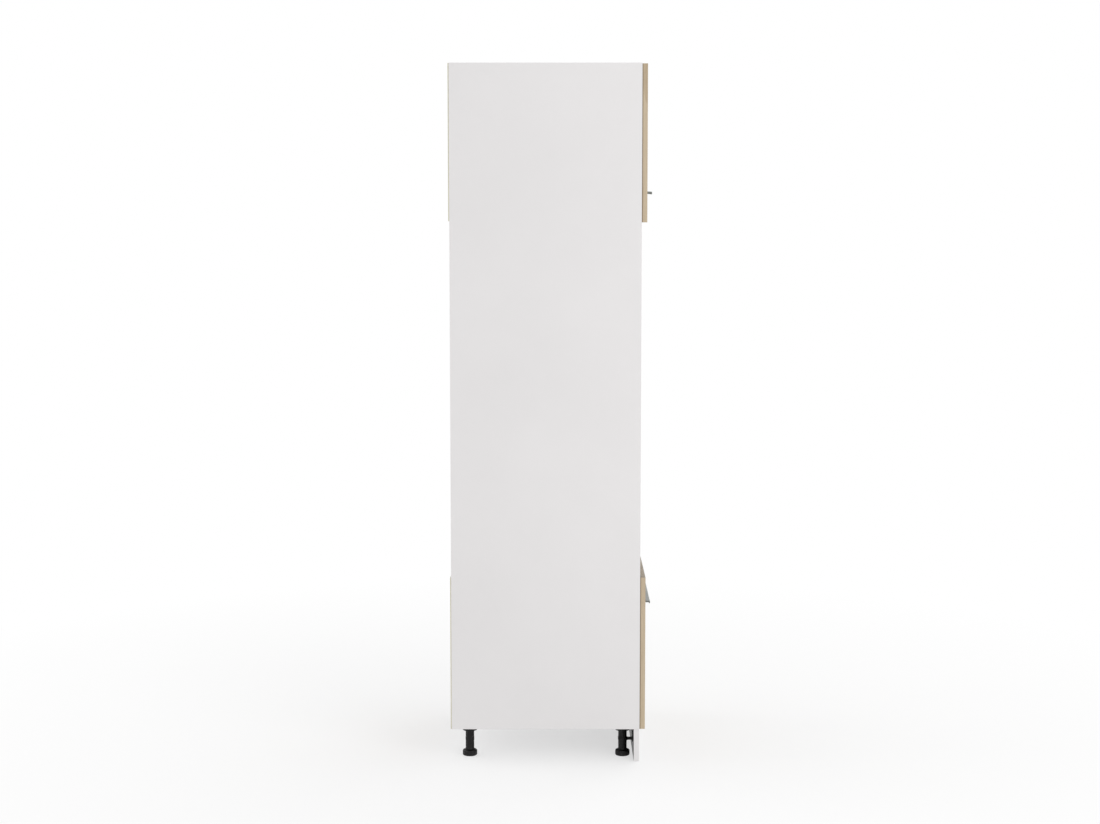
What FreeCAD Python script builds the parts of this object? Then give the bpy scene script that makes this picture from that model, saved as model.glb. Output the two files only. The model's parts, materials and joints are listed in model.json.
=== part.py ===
"""Tall kitchen unit that houses a built-in oven and a compact appliance.

Millimetres.  X runs across the unit, the fronts face -Y and +Z is up.  The origin lies on the
floor under the middle of the overall box.  From the floor up: adjustable legs and plinth, a deep
drawer on roller runners, the oven niche, the compact niche and an upper cupboard with a lift-up
flap on concealed hinges and gas struts.
"""
import FreeCAD, Part
import math
import os
import re

import Sketcher

DRIVING_SIZES = [
    # carcass
    ("unit_width", 600, "overall width"),
    ("carcass_depth", 560, "depth of the side panels"),
    ("board_thick", 16, "carcass board"),
    ("back_thick", 3, "hardboard back"),
    ("back_reveal", 1, "back panel edge inside the carcass edge"),
    ("lower_bay_height", 425, "clear height of the drawer bay"),
    ("oven_niche_height", 590, "clear height for the oven"),
    ("compact_niche_height", 450, "clear height for the compact appliance"),
    ("upper_bay_height", 425, "clear height of the cupboard behind the flap"),
    ("niche_shelf_setback", 50, "air gap behind the shelf between the niches"),
    # fronts
    ("front_thick", 16, "front board"),
    ("front_gap", 1, "buffer gap between carcass and fronts"),
    ("front_side_reveal", 2, "front edge inside the side panel's outer face"),
    ("lower_front_reveal", 2, "drawer front above the carcass bottom"),
    ("upper_front_reveal", 3, "flap below the carcass top"),
    ("front_cover", 2, "front edge past the shelf that it covers"),
    # handles
    ("handle_length", 336, "handle profile length"),
    ("handle_spacing", 320, "handle screw spacing"),
    ("handle_reach", 20, "handle depth off the front"),
    ("handle_web", 5, "web thickness"),
    ("handle_lip_thick", 3.5, "lip thickness"),
    ("handle_lip_drop", 3, "lip below the web"),
    ("handle_base_thick", 2.5, "base leg thickness"),
    ("handle_base_drop", 18, "base leg below the web"),
    ("lower_handle_drop", 98, "handle axis below the drawer front's top"),
    ("upper_handle_rise", 85, "handle axis above the flap's bottom"),
    ("handle_screw_r", 2, "handle screw shank"),
    ("handle_screw_head_r", 4.2, "handle screw head"),
    ("handle_screw_head_thick", 2.4, "handle screw head"),
    ("handle_screw_bite", 9, "screw length inside the handle"),
    ("screw_fit", 0.05, "radial room round a screw"),
    # legs and plinth
    ("leg_height", 100, "floor to carcass"),
    ("leg_side_inset", 80, "leg axis from the side"),
    ("leg_front_inset", 47, "front leg axis behind the carcass front"),
    ("leg_rear_inset", 51, "rear leg axis before the carcass rear"),
    ("leg_plate_width", 48, "leg mounting plate"),
    ("leg_plate_thick", 3.5, "leg mounting plate"),
    ("leg_socket_r", 22, "socket under the mounting plate"),
    ("leg_socket_depth", 18.5, "socket under the mounting plate"),
    ("leg_tube_r", 13.3, "leg tube outside"),
    ("leg_foot_r", 22, "foot pad"),
    ("leg_foot_thick", 17.5, "foot pad"),
    ("leg_foot_bevel", 3.5, "foot pad bevel"),
    ("leg_foot_gap", 0.5, "pad below the tube at the lowest setting"),
    ("leg_stem_r", 7, "foot spindle"),
    ("leg_stem_length", 52, "foot spindle above the pad"),
    ("leg_fit", 0.1, "radial room of socket and spindle at the tube"),
    ("plinth_floor_gap", 2, "plinth above the floor"),
    ("plinth_top_gap", 0.5, "plinth below the carcass"),
    ("plinth_end_reveal", 2, "plinth end inside the side"),
    ("clip_ring_wall", 2.6, "clip ring"),
    ("clip_height", 8, "clip ring and arm"),
    ("clip_level", 51, "clip above the floor"),
    ("clip_mouth", 17, "open side of the clip ring"),
    ("clip_arm_width", 8, "clip arm"),
    ("clip_plate_width", 34, "clip plate on the plinth"),
    ("clip_plate_height", 28, "clip plate on the plinth"),
    ("clip_plate_rise", 8, "clip plate centre above the arm's"),
    ("clip_plate_thick", 2.5, "clip plate on the plinth"),
    # wall brackets
    ("bracket_inset", 60, "wall bracket centre from the inner side"),
    ("bracket_width", 30, "wall bracket"),
    ("bracket_leg", 38, "wall bracket legs"),
    ("bracket_sheet", 2, "wall bracket sheet"),
    ("bracket_hole_r", 3.25, "wall screw hole"),
    ("bracket_hole_drop", 20, "wall screw hole below the top panel"),
    # drawer and runners
    ("runner_level", 34, "wheel axis of the runner above the bottom panel"),
    ("runner_length", 496, "cabinet rail"),
    ("runner_setback", 2, "rail behind the carcass front"),
    ("runner_sheet", 1.2, "runner steel"),
    ("runner_flange", 11, "rail flange width"),
    ("rail_half_gap", 9.3, "wheel axis to the lower flange"),
    ("rail_head_room", 0.7, "extra room over the drawer wheel"),
    ("cabinet_wheel_r", 10, "front wheel on the rail"),
    ("cabinet_wheel_lift", 1.8, "front wheel axis above the rear wheel axis"),
    ("cabinet_wheel_back", 34, "front wheel behind the rail's front"),
    ("drawer_wheel_r", 9, "rear wheel on the drawer"),
    ("drawer_wheel_back", 45, "rear wheel before the drawer's rear end"),
    ("wheel_near", 2.8, "wheel face off the side panel"),
    ("wheel_width", 6, "wheel"),
    ("wheel_pin_r", 2, "wheel pin"),
    ("wheel_fit", 0.05, "radial room on the pin"),
    ("wheel_head_r", 3.6, "pin head"),
    ("wheel_head_thick", 0.7, "pin head"),
    ("wheel_side_room", 0.3, "side room of the wheel"),
    ("wheel_play", 0.3, "flange above the front wheel"),
    ("drawer_wall_near", 12, "drawer side off the side panel"),
    ("drawer_wall_height", 75, "drawer side above the wheel axis"),
    ("drawer_floor_drop", 12, "drawer floor underside below the wheel axis"),
    ("drawer_ledge", 15, "ledge under the drawer floor"),
    ("drawer_roll", 8, "rolled top edge of the drawer side"),
    ("drawer_roll_drop", 7, "rolled edge turned down"),
    ("runway_width", 9, "runway flange on the drawer side"),
    ("drawer_length", 500, "drawer side length"),
    ("drawer_floor_fit", 0.3, "floor board to drawer side"),
    ("drawer_back_height", 190, "drawer back board"),
    ("gallery_r", 4, "gallery rail"),
    ("gallery_level", 160, "gallery rail above the drawer floor"),
    ("gallery_inset", 14, "gallery rail inside the drawer wall"),
    ("gallery_holder_half", 8, "half width of the gallery rail holder"),
    ("gallery_holder_length", 14, "gallery rail holder"),
    ("gallery_holder_bore", 10, "rail seat depth in the holder"),
    ("fixing_sheet", 2, "front fixing angle"),
    ("fixing_height", 54, "front fixing angle"),
    ("fixing_wall_leg", 30, "front fixing angle along the drawer side"),
    ("fixing_front_leg", 20, "front fixing angle on the front"),
    ("fixing_lift", 4, "front fixing angle above the drawer floor"),
    # concealed hinges of the flap
    ("hinge_inset", 100, "hinge centre from the side"),
    ("cup_r", 17.5, "hinge cup"),
    ("cup_depth", 12, "hinge cup"),
    ("cup_wall", 1.2, "hinge cup wall"),
    ("cup_floor", 1, "hinge cup floor"),
    ("cup_fit", 0.1, "radial room round the cup"),
    ("cup_drop", 22.5, "cup centre below the flap's top edge"),
    ("wing_length", 52, "cup wings"),
    ("wing_height", 15, "cup wings"),
    ("wing_thick", 0.7, "cup wings"),
    ("arm_pin_depth", 8.3, "arm pin inside the cup"),
    ("arm_pin_drop", 10.5, "arm pin below the cup centre"),
    ("cup_pin_depth", 5, "cup pin inside the cup"),
    ("cup_pin_rise", 12.5, "cup pin above the cup centre"),
    ("cup_pin_half", 10.4, "half length of the cup pin"),
    ("hinge_pin_r", 1.5, "hinge pins"),
    ("hinge_fit", 0.05, "radial room on the pins"),
    ("hinge_eye_r", 2.4, "eyes round the pins"),
    ("link_width", 10, "hinge link"),
    ("link_thick", 2, "hinge link"),
    ("arm_half_width", 7.3, "hinge arm outside"),
    ("arm_cheek", 2, "hinge arm cheek"),
    ("arm_web", 1.5, "hinge arm web"),
    ("arm_length", 62, "hinge arm behind the flap"),
    ("arm_height", 11, "hinge arm"),
    ("arm_knee", 10, "arm knee behind the flap"),
    ("hinge_plate_thick", 3, "mounting plate"),
    ("hinge_plate_length", 36, "mounting plate"),
    ("hinge_plate_width", 50, "mounting plate"),
    ("hinge_plate_end", 5, "mounting plate before the arm's end"),
    # gas struts of the flap
    ("strut_near", 14, "strut axis off the side panel"),
    ("strut_seat_back", 64, "lower seat behind the carcass front"),
    ("strut_seat_drop", 348, "lower seat below the top panel"),
    ("strut_flap_stand", 28, "upper seat behind the flap"),
    ("strut_flap_drop", 40, "upper seat below the top panel"),
    ("strut_tube_r", 7.5, "strut cylinder"),
    ("strut_bore_r", 6.3, "strut cylinder bore"),
    ("strut_tube_start", 12, "cylinder above the lower seat"),
    ("strut_tube_length", 190, "cylinder"),
    ("strut_cap", 4, "cylinder ends"),
    ("strut_rod_r", 4, "strut rod"),
    ("strut_rod_fit", 0.06, "radial room of the rod"),
    ("strut_piston_start", 32, "piston above the lower seat"),
    ("strut_piston_thick", 6, "piston"),
    ("strut_end_half", 6, "half width of the end fittings"),
    ("strut_end_tail", 7, "end fitting past the seat"),
    ("strut_stud_r", 3, "ball stud shank"),
    ("strut_seat_width", 24, "seat plate"),
    ("strut_seat_thick", 3, "seat plate"),
    ("strut_collar_half", 5, "half width of the seat collar"),
    ("strut_side_gap", 0.3, "side room of the end fittings"),
    ("strut_angle_width", 22, "flap angle"),
    ("strut_angle_height", 24, "flap angle"),
    ("strut_angle_sheet", 2.5, "flap angle"),
]
ALIASES = {alias for alias, _, _ in DRIVING_SIZES}

# Levels and planes worked out from the driving sizes.
CARCASS_FRONT = "((handle_reach + front_thick + front_gap - carcass_depth - back_thick) / 2)"
CARCASS_REAR = f"({CARCASS_FRONT} + carcass_depth)"
FRONT_REAR_FACE = f"({CARCASS_FRONT} - front_gap)"
FRONT_FACE = f"({FRONT_REAR_FACE} - front_thick)"
INNER_LEFT = "(board_thick - unit_width / 2)"
INNER_WIDTH = "(unit_width - 2 * board_thick)"
BOTTOM_TOP = "(leg_height + board_thick)"
OVEN_SHELF = f"({BOTTOM_TOP} + lower_bay_height)"
NICHE_FLOOR = f"({OVEN_SHELF} + board_thick)"
NICHE_SHELF = f"({NICHE_FLOOR} + oven_niche_height)"
UPPER_SHELF = f"({NICHE_SHELF} + board_thick + compact_niche_height)"
TOP_PANEL = f"({UPPER_SHELF} + board_thick + upper_bay_height)"
CARCASS_TOP = f"({TOP_PANEL} + board_thick)"
FLAP_BOTTOM = f"({UPPER_SHELF} - front_cover)"
FLAP_TOP = f"({CARCASS_TOP} - upper_front_reveal)"
DRAWER_FRONT_BOTTOM = "(leg_height + lower_front_reveal)"
DRAWER_FRONT_TOP = f"({NICHE_FLOOR} + front_cover)"
FRONT_LEFT = "(front_side_reveal - unit_width / 2)"
FRONT_WIDTH = "(unit_width - 2 * front_side_reveal)"

GRIP_SIDES = 16

doc = FreeCAD.newDocument("tall_oven_housing")
sheet = doc.addObject("Spreadsheet::Sheet", "sizes")
for row, (alias, number, meaning) in enumerate(DRIVING_SIZES, start=1):
    sheet.set(f"A{row}", meaning)
    sheet.set(f"B{row}", str(number))
    sheet.setAlias(f"B{row}", alias)
doc.recompute()

sub_parts = {}
X_AXIS = FreeCAD.Vector(1, 0, 0)
Y_AXIS = FreeCAD.Vector(0, 1, 0)
ALONG = {
    "X": FreeCAD.Rotation(Y_AXIS, 90),
    "Y": FreeCAD.Rotation(X_AXIS, -90),
    "Z": FreeCAD.Rotation(),
}


def bound(text):
    """The expression with each driving size written as a cell of the sheet."""
    return re.sub(
        r"[A-Za-z_]\w*",
        lambda word: "sizes." + word.group(0) if word.group(0) in ALIASES else word.group(0),
        str(text),
    )


def bind(thing, **expressions):
    """Bind plain properties of an object to expressions."""
    for name, text in expressions.items():
        thing.setExpression(name, bound(text))
    return thing


def place(thing, x=0, y=0, z=0):
    """Bind an object's place, leaving its rotation."""
    for axis, text in zip("xyz", (x, y, z)):
        thing.setExpression(f"Placement.Base.{axis}", bound(text))
    return thing


def keep(node, thing):
    """Name an object as a sub-part that is written out."""
    thing.Label = node
    sub_parts[node] = thing
    return thing


def block(name, x, y, z, length, depth, height):
    """A box from its lowest corner."""
    box = bind(doc.addObject("Part::Box", name), Length=length, Width=depth, Height=height)
    return place(box, x, y, z)


def round_bar(name, axis, radius, length, x, y, z):
    """A cylinder that starts at a point and runs along a row axis."""
    bar = doc.addObject("Part::Cylinder", name)
    bar.Placement = FreeCAD.Placement(FreeCAD.Vector(), ALONG[axis])
    return place(bind(bar, Radius=radius, Height=length), x, y, z)


def threaded_bar(name, axis, radius, length, x, y, z):
    """A screw shank or spindle; twelve flats stand for its thread."""
    bar = doc.addObject("Part::Prism", name)
    bar.Polygon = 12
    bar.Placement = FreeCAD.Placement(FreeCAD.Vector(), ALONG[axis])
    return place(bind(bar, Circumradius=radius, Height=length), x, y, z)


def grip_bar(name, radius, length, x, y, z):
    """An upright bar with the many flats of a gripped leg part, measured over its corners."""
    bar = doc.addObject("Part::Prism", name)
    bar.Polygon = GRIP_SIDES
    return place(bind(bar, Circumradius=radius, Height=length), x, y, z)


def fused(name, pieces):
    """One solid from pieces that touch."""
    union = doc.addObject("Part::MultiFuse", name)
    union.Shapes = pieces
    return union


def less(name, base, cutters):
    """The base without the cutters."""
    result = doc.addObject("Part::Cut", name)
    result.Base = base
    result.Tool = cutters[0] if len(cutters) == 1 else fused(name + "_cutters", cutters)
    return result


def group(name, pieces):
    """Like pieces kept as separate solids under one name."""
    bundle = doc.addObject("Part::Compound", name)
    bundle.Links = pieces
    return bundle


def mirrored(name, source):
    """The right-hand piece, which mirrors the left one across the unit's middle."""
    copy = doc.addObject("Part::Mirroring", name)
    copy.Source = source
    copy.Normal = X_AXIS
    return copy


def both_sides(stem, left):
    """Keep a left piece and its mirror image."""
    keep(stem + "_left", left)
    keep(stem + "_right", mirrored(stem + "_mirror", left))


def both_kept(node, left):
    """Keep a left piece and its mirror image as separate solids under one name."""
    return keep(node, group(node + "_pair", [left, mirrored(node + "_mirror", left)]))


def outline(body, role, corners):
    """A closed sketch of straight edges on one of the body's own planes, each corner bound."""
    sketch = body.newObject("Sketcher::SketchObject", body.Name + "_outline")
    plane = next(f for f in body.Origin.OriginFeatures if f.Role == role)
    sketch.AttachmentSupport = [(plane, "")]
    sketch.MapMode = "FlatFace"
    count = len(corners)
    turn = 2 * math.pi / count
    start = [FreeCAD.Vector(math.cos(i * turn), math.sin(i * turn), 0) * 10 for i in range(count)]
    sketch.addGeometry([Part.LineSegment(start[i], start[(i + 1) % count]) for i in range(count)])
    joins = [Sketcher.Constraint("Coincident", i, 2, (i + 1) % count, 1) for i in range(count)]
    sketch.addConstraint(joins)
    for index, corner in enumerate(corners):
        for kind, text in zip(("DistanceX", "DistanceY"), corner):
            number = sketch.addConstraint(Sketcher.Constraint(kind, -1, 1, index, 1, 1.0))
            sketch.setExpression(f"Constraints[{number}]", bound(text))
    return sketch


def profile_along_y(name, corners, length):
    """A profile drawn in X and Z, carried towards +Y."""
    body = doc.addObject("PartDesign::Body", name)
    sketch = outline(body, "XZ_Plane", corners)
    pad = body.newObject("PartDesign::Pad", name + "_pad")
    pad.Profile = sketch
    pad.Reversed = True
    bind(pad, Length=length)
    return body


def profile_along_x(name, corners, length):
    """A profile drawn in Y and Z, carried towards +X."""
    body = doc.addObject("PartDesign::Body", name)
    sketch = outline(body, "YZ_Plane", corners)
    pad = body.newObject("PartDesign::Pad", name + "_pad")
    pad.Profile = sketch
    bind(pad, Length=length)
    return body


def turned(name, corners):
    """A half section of radius and height, turned about the upright axis."""
    body = doc.addObject("PartDesign::Body", name)
    sketch = outline(body, "XZ_Plane", corners)
    turn = body.newObject("PartDesign::Revolution", name + "_turn")
    turn.Profile = sketch
    turn.ReferenceAxis = (sketch, ["V_Axis"])
    turn.Angle = 360
    return body


# ---------------------------------------------------------------- carcass

def shelf_board(node, underside, setback="0"):
    """A level board between the side panels."""
    return keep(node, block(node + "_board", INNER_LEFT, CARCASS_FRONT, underside, INNER_WIDTH,
                            f"carcass_depth - {setback}", "board_thick"))


both_sides("side_panel", block("side_board", "-unit_width / 2", CARCASS_FRONT, "leg_height",
                               "board_thick", "carcass_depth", f"{CARCASS_TOP} - leg_height"))
shelf_board("bottom_panel", "leg_height")
shelf_board("oven_shelf", OVEN_SHELF)
shelf_board("niche_shelf", NICHE_SHELF, "niche_shelf_setback")
shelf_board("upper_shelf", UPPER_SHELF)
shelf_board("top_panel", TOP_PANEL)

BRACKET_X = f"(-{INNER_LEFT} - bracket_inset)"
BRACKET_HOLE_LEVEL = f"({TOP_PANEL} - bracket_hole_drop)"


def back_board(name, low, high):
    """A hardboard sheet nailed on the rear edges, from one level to another."""
    return block(name, "back_reveal - unit_width / 2", CARCASS_REAR, low,
                 "unit_width - 2 * back_reveal", "back_thick", f"{high} - {low}")


def wall_hole(name, sign):
    """The screw hole through wall bracket and back panel."""
    return round_bar(name, "Y", "bracket_hole_r", "bracket_leg + back_thick",
                     f"{sign} * {BRACKET_X}", f"{CARCASS_REAR} - bracket_leg / 2",
                     BRACKET_HOLE_LEVEL)


keep("back_panel_lower", back_board("back_low", "(leg_height + back_reveal)", NICHE_FLOOR))
keep("back_panel_upper", less(
    "back_high_drilled",
    back_board("back_high", UPPER_SHELF, f"({CARCASS_TOP} - back_reveal)"),
    [wall_hole(f"back_hole_{sign + 1}", sign) for sign in (-1, 1)]))

wall_brackets = []
for sign in (-1, 1):
    tag = f"wall_bracket_{sign + 1}"
    left_edge = f"{sign} * {BRACKET_X} - bracket_width / 2"
    level_leg = block(tag + "_level", left_edge, f"{CARCASS_REAR} - bracket_leg",
                      f"{TOP_PANEL} - bracket_sheet", "bracket_width", "bracket_leg",
                      "bracket_sheet")
    upright_leg = block(tag + "_upright", left_edge, f"{CARCASS_REAR} - bracket_sheet",
                        f"{TOP_PANEL} - bracket_leg", "bracket_width", "bracket_sheet",
                        "bracket_leg")
    angle = fused(tag + "_angle", [level_leg, upright_leg])
    wall_brackets.append(less(tag + "_drilled", angle, [wall_hole(tag + "_hole", sign)]))
keep("wall_brackets", group("wall_bracket_set", wall_brackets))

# ---------------------------------------------------------------- legs and plinth

LEG_X = "(unit_width / 2 - leg_side_inset)"
LEG_ROWS = {
    "front": f"({CARCASS_FRONT} + leg_front_inset)",
    "rear": f"({CARCASS_REAR} - leg_rear_inset)",
}
LEG_SIDES = {"left": -1, "right": 1}
TUBE_TOP = "(leg_height - leg_plate_thick)"
TUBE_BOTTOM = "(leg_foot_thick + leg_foot_gap)"

leg_plates = []
leg_tubes = []
for row_name, row_y in LEG_ROWS.items():
    for side, sign in LEG_SIDES.items():
        where = f"{row_name}_{side}"
        x = f"{sign} * {LEG_X}"
        flange = block(f"flange_{where}", f"{x} - leg_plate_width / 2",
                       f"{row_y} - leg_plate_width / 2", TUBE_TOP, "leg_plate_width",
                       "leg_plate_width", "leg_plate_thick")
        socket = less(f"socket_{where}", grip_bar(
            f"socket_wall_{where}", "leg_socket_r", "leg_socket_depth", x, row_y,
            f"{TUBE_TOP} - leg_socket_depth"), [grip_bar(
                f"socket_bore_{where}", f"(leg_tube_r + leg_fit) / cos({180 / GRIP_SIDES} deg)",
                "leg_socket_depth", x, row_y, f"{TUBE_TOP} - leg_socket_depth")])
        leg_plates.append(fused(f"leg_plate_{where}", [flange, socket]))
        tube_span = f"{TUBE_TOP} - {TUBE_BOTTOM}"
        leg_tubes.append(less(f"leg_tube_{where}", round_bar(
            f"tube_wall_{where}", "Z", "leg_tube_r", tube_span, x, row_y, TUBE_BOTTOM), [
                threaded_bar(f"tube_thread_{where}", "Z", "leg_stem_r + leg_fit", tube_span, x,
                             row_y, TUBE_BOTTOM)]))
        pad_body = doc.addObject("PartDesign::Body", f"foot_pad_{where}")
        rim = outline(pad_body, "XY_Plane", [
            (f"leg_foot_r * cos({360 * step / GRIP_SIDES} deg)",
             f"leg_foot_r * sin({360 * step / GRIP_SIDES} deg)") for step in range(GRIP_SIDES)])
        disc = pad_body.newObject("PartDesign::Pad", f"foot_disc_{where}")
        disc.Profile = rim
        bind(disc, Length="leg_foot_thick")
        bevel = pad_body.newObject("PartDesign::Chamfer", f"foot_bevel_{where}")
        bevel.Base = (disc, [f"Face{GRIP_SIDES + 1}", f"Face{GRIP_SIDES + 2}"])
        bind(bevel, Size="leg_foot_bevel")
        stem = threaded_bar(f"foot_stem_{where}", "Z", "leg_stem_r",
                            "leg_foot_thick + leg_stem_length", x, row_y, "0")
        keep(f"foot_{where}", fused(f"foot_solid_{where}", [place(pad_body, x, row_y), stem]))
keep("leg_plates", group("leg_plate_set", leg_plates))
keep("leg_tubes", group("leg_tube_set", leg_tubes))

keep("plinth_board", block(
    "plinth", "plinth_end_reveal - unit_width / 2", CARCASS_FRONT, "plinth_floor_gap",
    "unit_width - 2 * plinth_end_reveal", "board_thick",
    "leg_height - plinth_top_gap - plinth_floor_gap"))

CLIP_BORE = "(leg_tube_r + leg_fit)"
CLIP_R = f"({CLIP_BORE} + clip_ring_wall)"
CLIP_LOW = "(clip_level - clip_height / 2)"
PLINTH_REAR = f"({CARCASS_FRONT} + board_thick)"
clip_x = f"(-{LEG_X})"
clip_y = LEG_ROWS["front"]
clip_body = fused("clip_body", [
    round_bar("clip_ring", "Z", CLIP_R, "clip_height", clip_x, clip_y, CLIP_LOW),
    block("clip_arm", f"{clip_x} - clip_arm_width / 2", PLINTH_REAR, CLIP_LOW,
          "clip_arm_width", "leg_front_inset - board_thick", "clip_height"),
    block("clip_plate", f"{clip_x} - clip_plate_width / 2", PLINTH_REAR,
          "clip_level + clip_plate_rise - clip_plate_height / 2", "clip_plate_width",
          "clip_plate_thick", "clip_plate_height")])
both_kept("plinth_clips", less("clip_open", clip_body, [
    round_bar("clip_bore", "Z", CLIP_BORE, "clip_height", clip_x, clip_y, CLIP_LOW),
    block("clip_gap", f"{clip_x} - clip_mouth / 2", clip_y, CLIP_LOW, "clip_mouth",
          f"2 * {CLIP_R}", "clip_height")]))

# ---------------------------------------------------------------- handles and fronts


def handle(node, level):
    """A hooked pull: a base leg on the front, a level web and a lip turned down at its edge."""
    half_web = "handle_web / 2"
    lip_low = f"(-{half_web} - handle_lip_drop)"
    body = profile_along_x(node + "_profile", [
        ("0", half_web), ("0", f"-{half_web} - handle_base_drop"),
        ("-handle_base_thick", f"-{half_web} - handle_base_drop"),
        ("-handle_base_thick", f"-{half_web}"),
        ("handle_lip_thick - handle_reach", f"-{half_web}"),
        ("handle_lip_thick - handle_reach", lip_low),
        ("-handle_reach", lip_low), ("-handle_reach", half_web)], "handle_length")
    place(body, "-handle_length / 2", FRONT_FACE, level)
    return keep(node, less(node + "_tapped", body, [
        round_bar(f"{node}_thread_{sign + 1}", "Y", "handle_screw_r + screw_fit",
                  "handle_screw_bite + 1", f"{sign} * handle_spacing / 2",
                  f"{FRONT_FACE} - handle_screw_bite - 1", level)
        for sign in (-1, 1)]))


def handle_holes(stem, level):
    """Screw holes through a front."""
    return [
        round_bar(f"{stem}_screw_hole_{sign + 1}", "Y", "handle_screw_r + screw_fit",
                  "front_thick", f"{sign} * handle_spacing / 2", FRONT_FACE, level)
        for sign in (-1, 1)]


def handle_screws(node, level):
    """Two screws put in from behind the front."""
    screws = []
    for sign in (-1, 1):
        x = f"{sign} * handle_spacing / 2"
        shank = threaded_bar(f"{node}_shank_{sign + 1}", "Y", "handle_screw_r",
                             "front_thick + handle_screw_bite", x,
                             f"{FRONT_FACE} - handle_screw_bite", level)
        head = round_bar(f"{node}_head_{sign + 1}", "Y", "handle_screw_head_r",
                         "handle_screw_head_thick", x, FRONT_REAR_FACE, level)
        screws.append(fused(f"{node}_screw_{sign + 1}", [shank, head]))
    return keep(node, group(node + "_set", screws))


def front_board(name, low, high):
    """A front panel from one level to another."""
    return block(name, FRONT_LEFT, FRONT_FACE, low, FRONT_WIDTH, "front_thick",
                 f"{high} - {low}")


LOWER_HANDLE = f"({DRAWER_FRONT_TOP} - lower_handle_drop)"
UPPER_HANDLE = f"({FLAP_BOTTOM} + upper_handle_rise)"
keep("drawer_front", less(
    "drawer_front_drilled",
    front_board("drawer_front_board", DRAWER_FRONT_BOTTOM, DRAWER_FRONT_TOP),
    handle_holes("drawer_front", LOWER_HANDLE)))
handle("drawer_handle", LOWER_HANDLE)
handle_screws("drawer_handle_screws", LOWER_HANDLE)
handle("flap_handle", UPPER_HANDLE)
handle_screws("flap_handle_screws", UPPER_HANDLE)

# ---------------------------------------------------------------- runners and drawer

WHEEL_AXIS = f"({BOTTOM_TOP} + runner_level)"
RAIL_FRONT = f"({CARCASS_FRONT} + runner_setback)"
RAIL_ROOF = "(rail_half_gap + rail_head_room)"
CABINET_WHEEL_Y = f"({RAIL_FRONT} + cabinet_wheel_back)"
CABINET_WHEEL_Z = f"({WHEEL_AXIS} + cabinet_wheel_lift)"
DRAWER_REAR = f"({FRONT_REAR_FACE} + drawer_length)"
DRAWER_WHEEL_Y = f"({DRAWER_REAR} - drawer_wheel_back)"
WHEEL_FAR = "(wheel_near + wheel_width)"
WALL_INNER = "(drawer_wall_near + runner_sheet)"
RUNWAY = "(cabinet_wheel_lift + cabinet_wheel_r + wheel_play)"
FLOOR_LOW = "(-drawer_floor_drop)"

rail = place(profile_along_y("rail_section", [
    ("0", "-rail_half_gap - runner_sheet"), ("runner_flange", "-rail_half_gap - runner_sheet"),
    ("runner_flange", "-rail_half_gap"), ("runner_sheet", "-rail_half_gap"),
    ("runner_sheet", RAIL_ROOF), ("runner_flange", RAIL_ROOF),
    ("runner_flange", f"{RAIL_ROOF} + runner_sheet"), ("0", f"{RAIL_ROOF} + runner_sheet")],
    "runner_length"), INNER_LEFT, RAIL_FRONT, WHEEL_AXIS)
wheel_notch = block("wheel_notch", f"{INNER_LEFT} + runner_sheet",
                    f"{CABINET_WHEEL_Y} - cabinet_wheel_r - 3",
                    f"{WHEEL_AXIS} + {RAIL_ROOF}", "runner_flange",
                    "2 * cabinet_wheel_r + 6", "runner_sheet")
rail_pin = round_bar("rail_pin", "X", "wheel_pin_r",
                     f"{WHEEL_FAR} + wheel_side_room + wheel_head_thick",
                     INNER_LEFT, CABINET_WHEEL_Y, CABINET_WHEEL_Z)
rail_pin_head = round_bar("rail_pin_head", "X", "wheel_head_r", "wheel_head_thick",
                          f"{INNER_LEFT} + {WHEEL_FAR} + wheel_side_room", CABINET_WHEEL_Y,
                          CABINET_WHEEL_Z)
both_sides("runner_rail", fused("rail_with_pin", [
    less("rail_notched", rail, [wheel_notch]), rail_pin, rail_pin_head]))


def wheel(stem, radius, y, z):
    """A runner wheel with its bore."""
    x = f"{INNER_LEFT} + wheel_near"
    rim = round_bar(stem + "_rim", "X", radius, "wheel_width", x, y, z)
    bore = round_bar(stem + "_bore", "X", "wheel_pin_r + wheel_fit", "wheel_width", x, y, z)
    both_kept(stem + "s", less(stem + "_bored", rim, [bore]))


wheel("cabinet_wheel", "cabinet_wheel_r", CABINET_WHEEL_Y, CABINET_WHEEL_Z)
wheel("drawer_wheel", "drawer_wheel_r", DRAWER_WHEEL_Y, WHEEL_AXIS)

drawer_wall = place(profile_along_y("drawer_wall_section", [
    ("drawer_wall_near", f"{FLOOR_LOW} - runner_sheet"),
    ("drawer_wall_near + drawer_ledge", f"{FLOOR_LOW} - runner_sheet"),
    ("drawer_wall_near + drawer_ledge", FLOOR_LOW), (WALL_INNER, FLOOR_LOW),
    (WALL_INNER, "drawer_wall_height - runner_sheet"),
    ("drawer_wall_near + drawer_roll - runner_sheet", "drawer_wall_height - runner_sheet"),
    ("drawer_wall_near + drawer_roll - runner_sheet", "drawer_wall_height - drawer_roll_drop"),
    ("drawer_wall_near + drawer_roll", "drawer_wall_height - drawer_roll_drop"),
    ("drawer_wall_near + drawer_roll", "drawer_wall_height"),
    ("drawer_wall_near", "drawer_wall_height"),
    ("drawer_wall_near", f"{RUNWAY} + runner_sheet"),
    ("drawer_wall_near - runway_width", f"{RUNWAY} + runner_sheet"),
    ("drawer_wall_near - runway_width", RUNWAY), ("drawer_wall_near", RUNWAY)],
    "drawer_length"), INNER_LEFT, FRONT_REAR_FACE, WHEEL_AXIS)
roll_notch = block("roll_notch", f"{INNER_LEFT} + {WALL_INNER}",
                   f"{DRAWER_REAR} - board_thick - drawer_floor_fit",
                   f"{WHEEL_AXIS} + drawer_wall_height - drawer_roll_drop", "drawer_roll",
                   "board_thick + drawer_floor_fit", "drawer_roll_drop")
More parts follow.
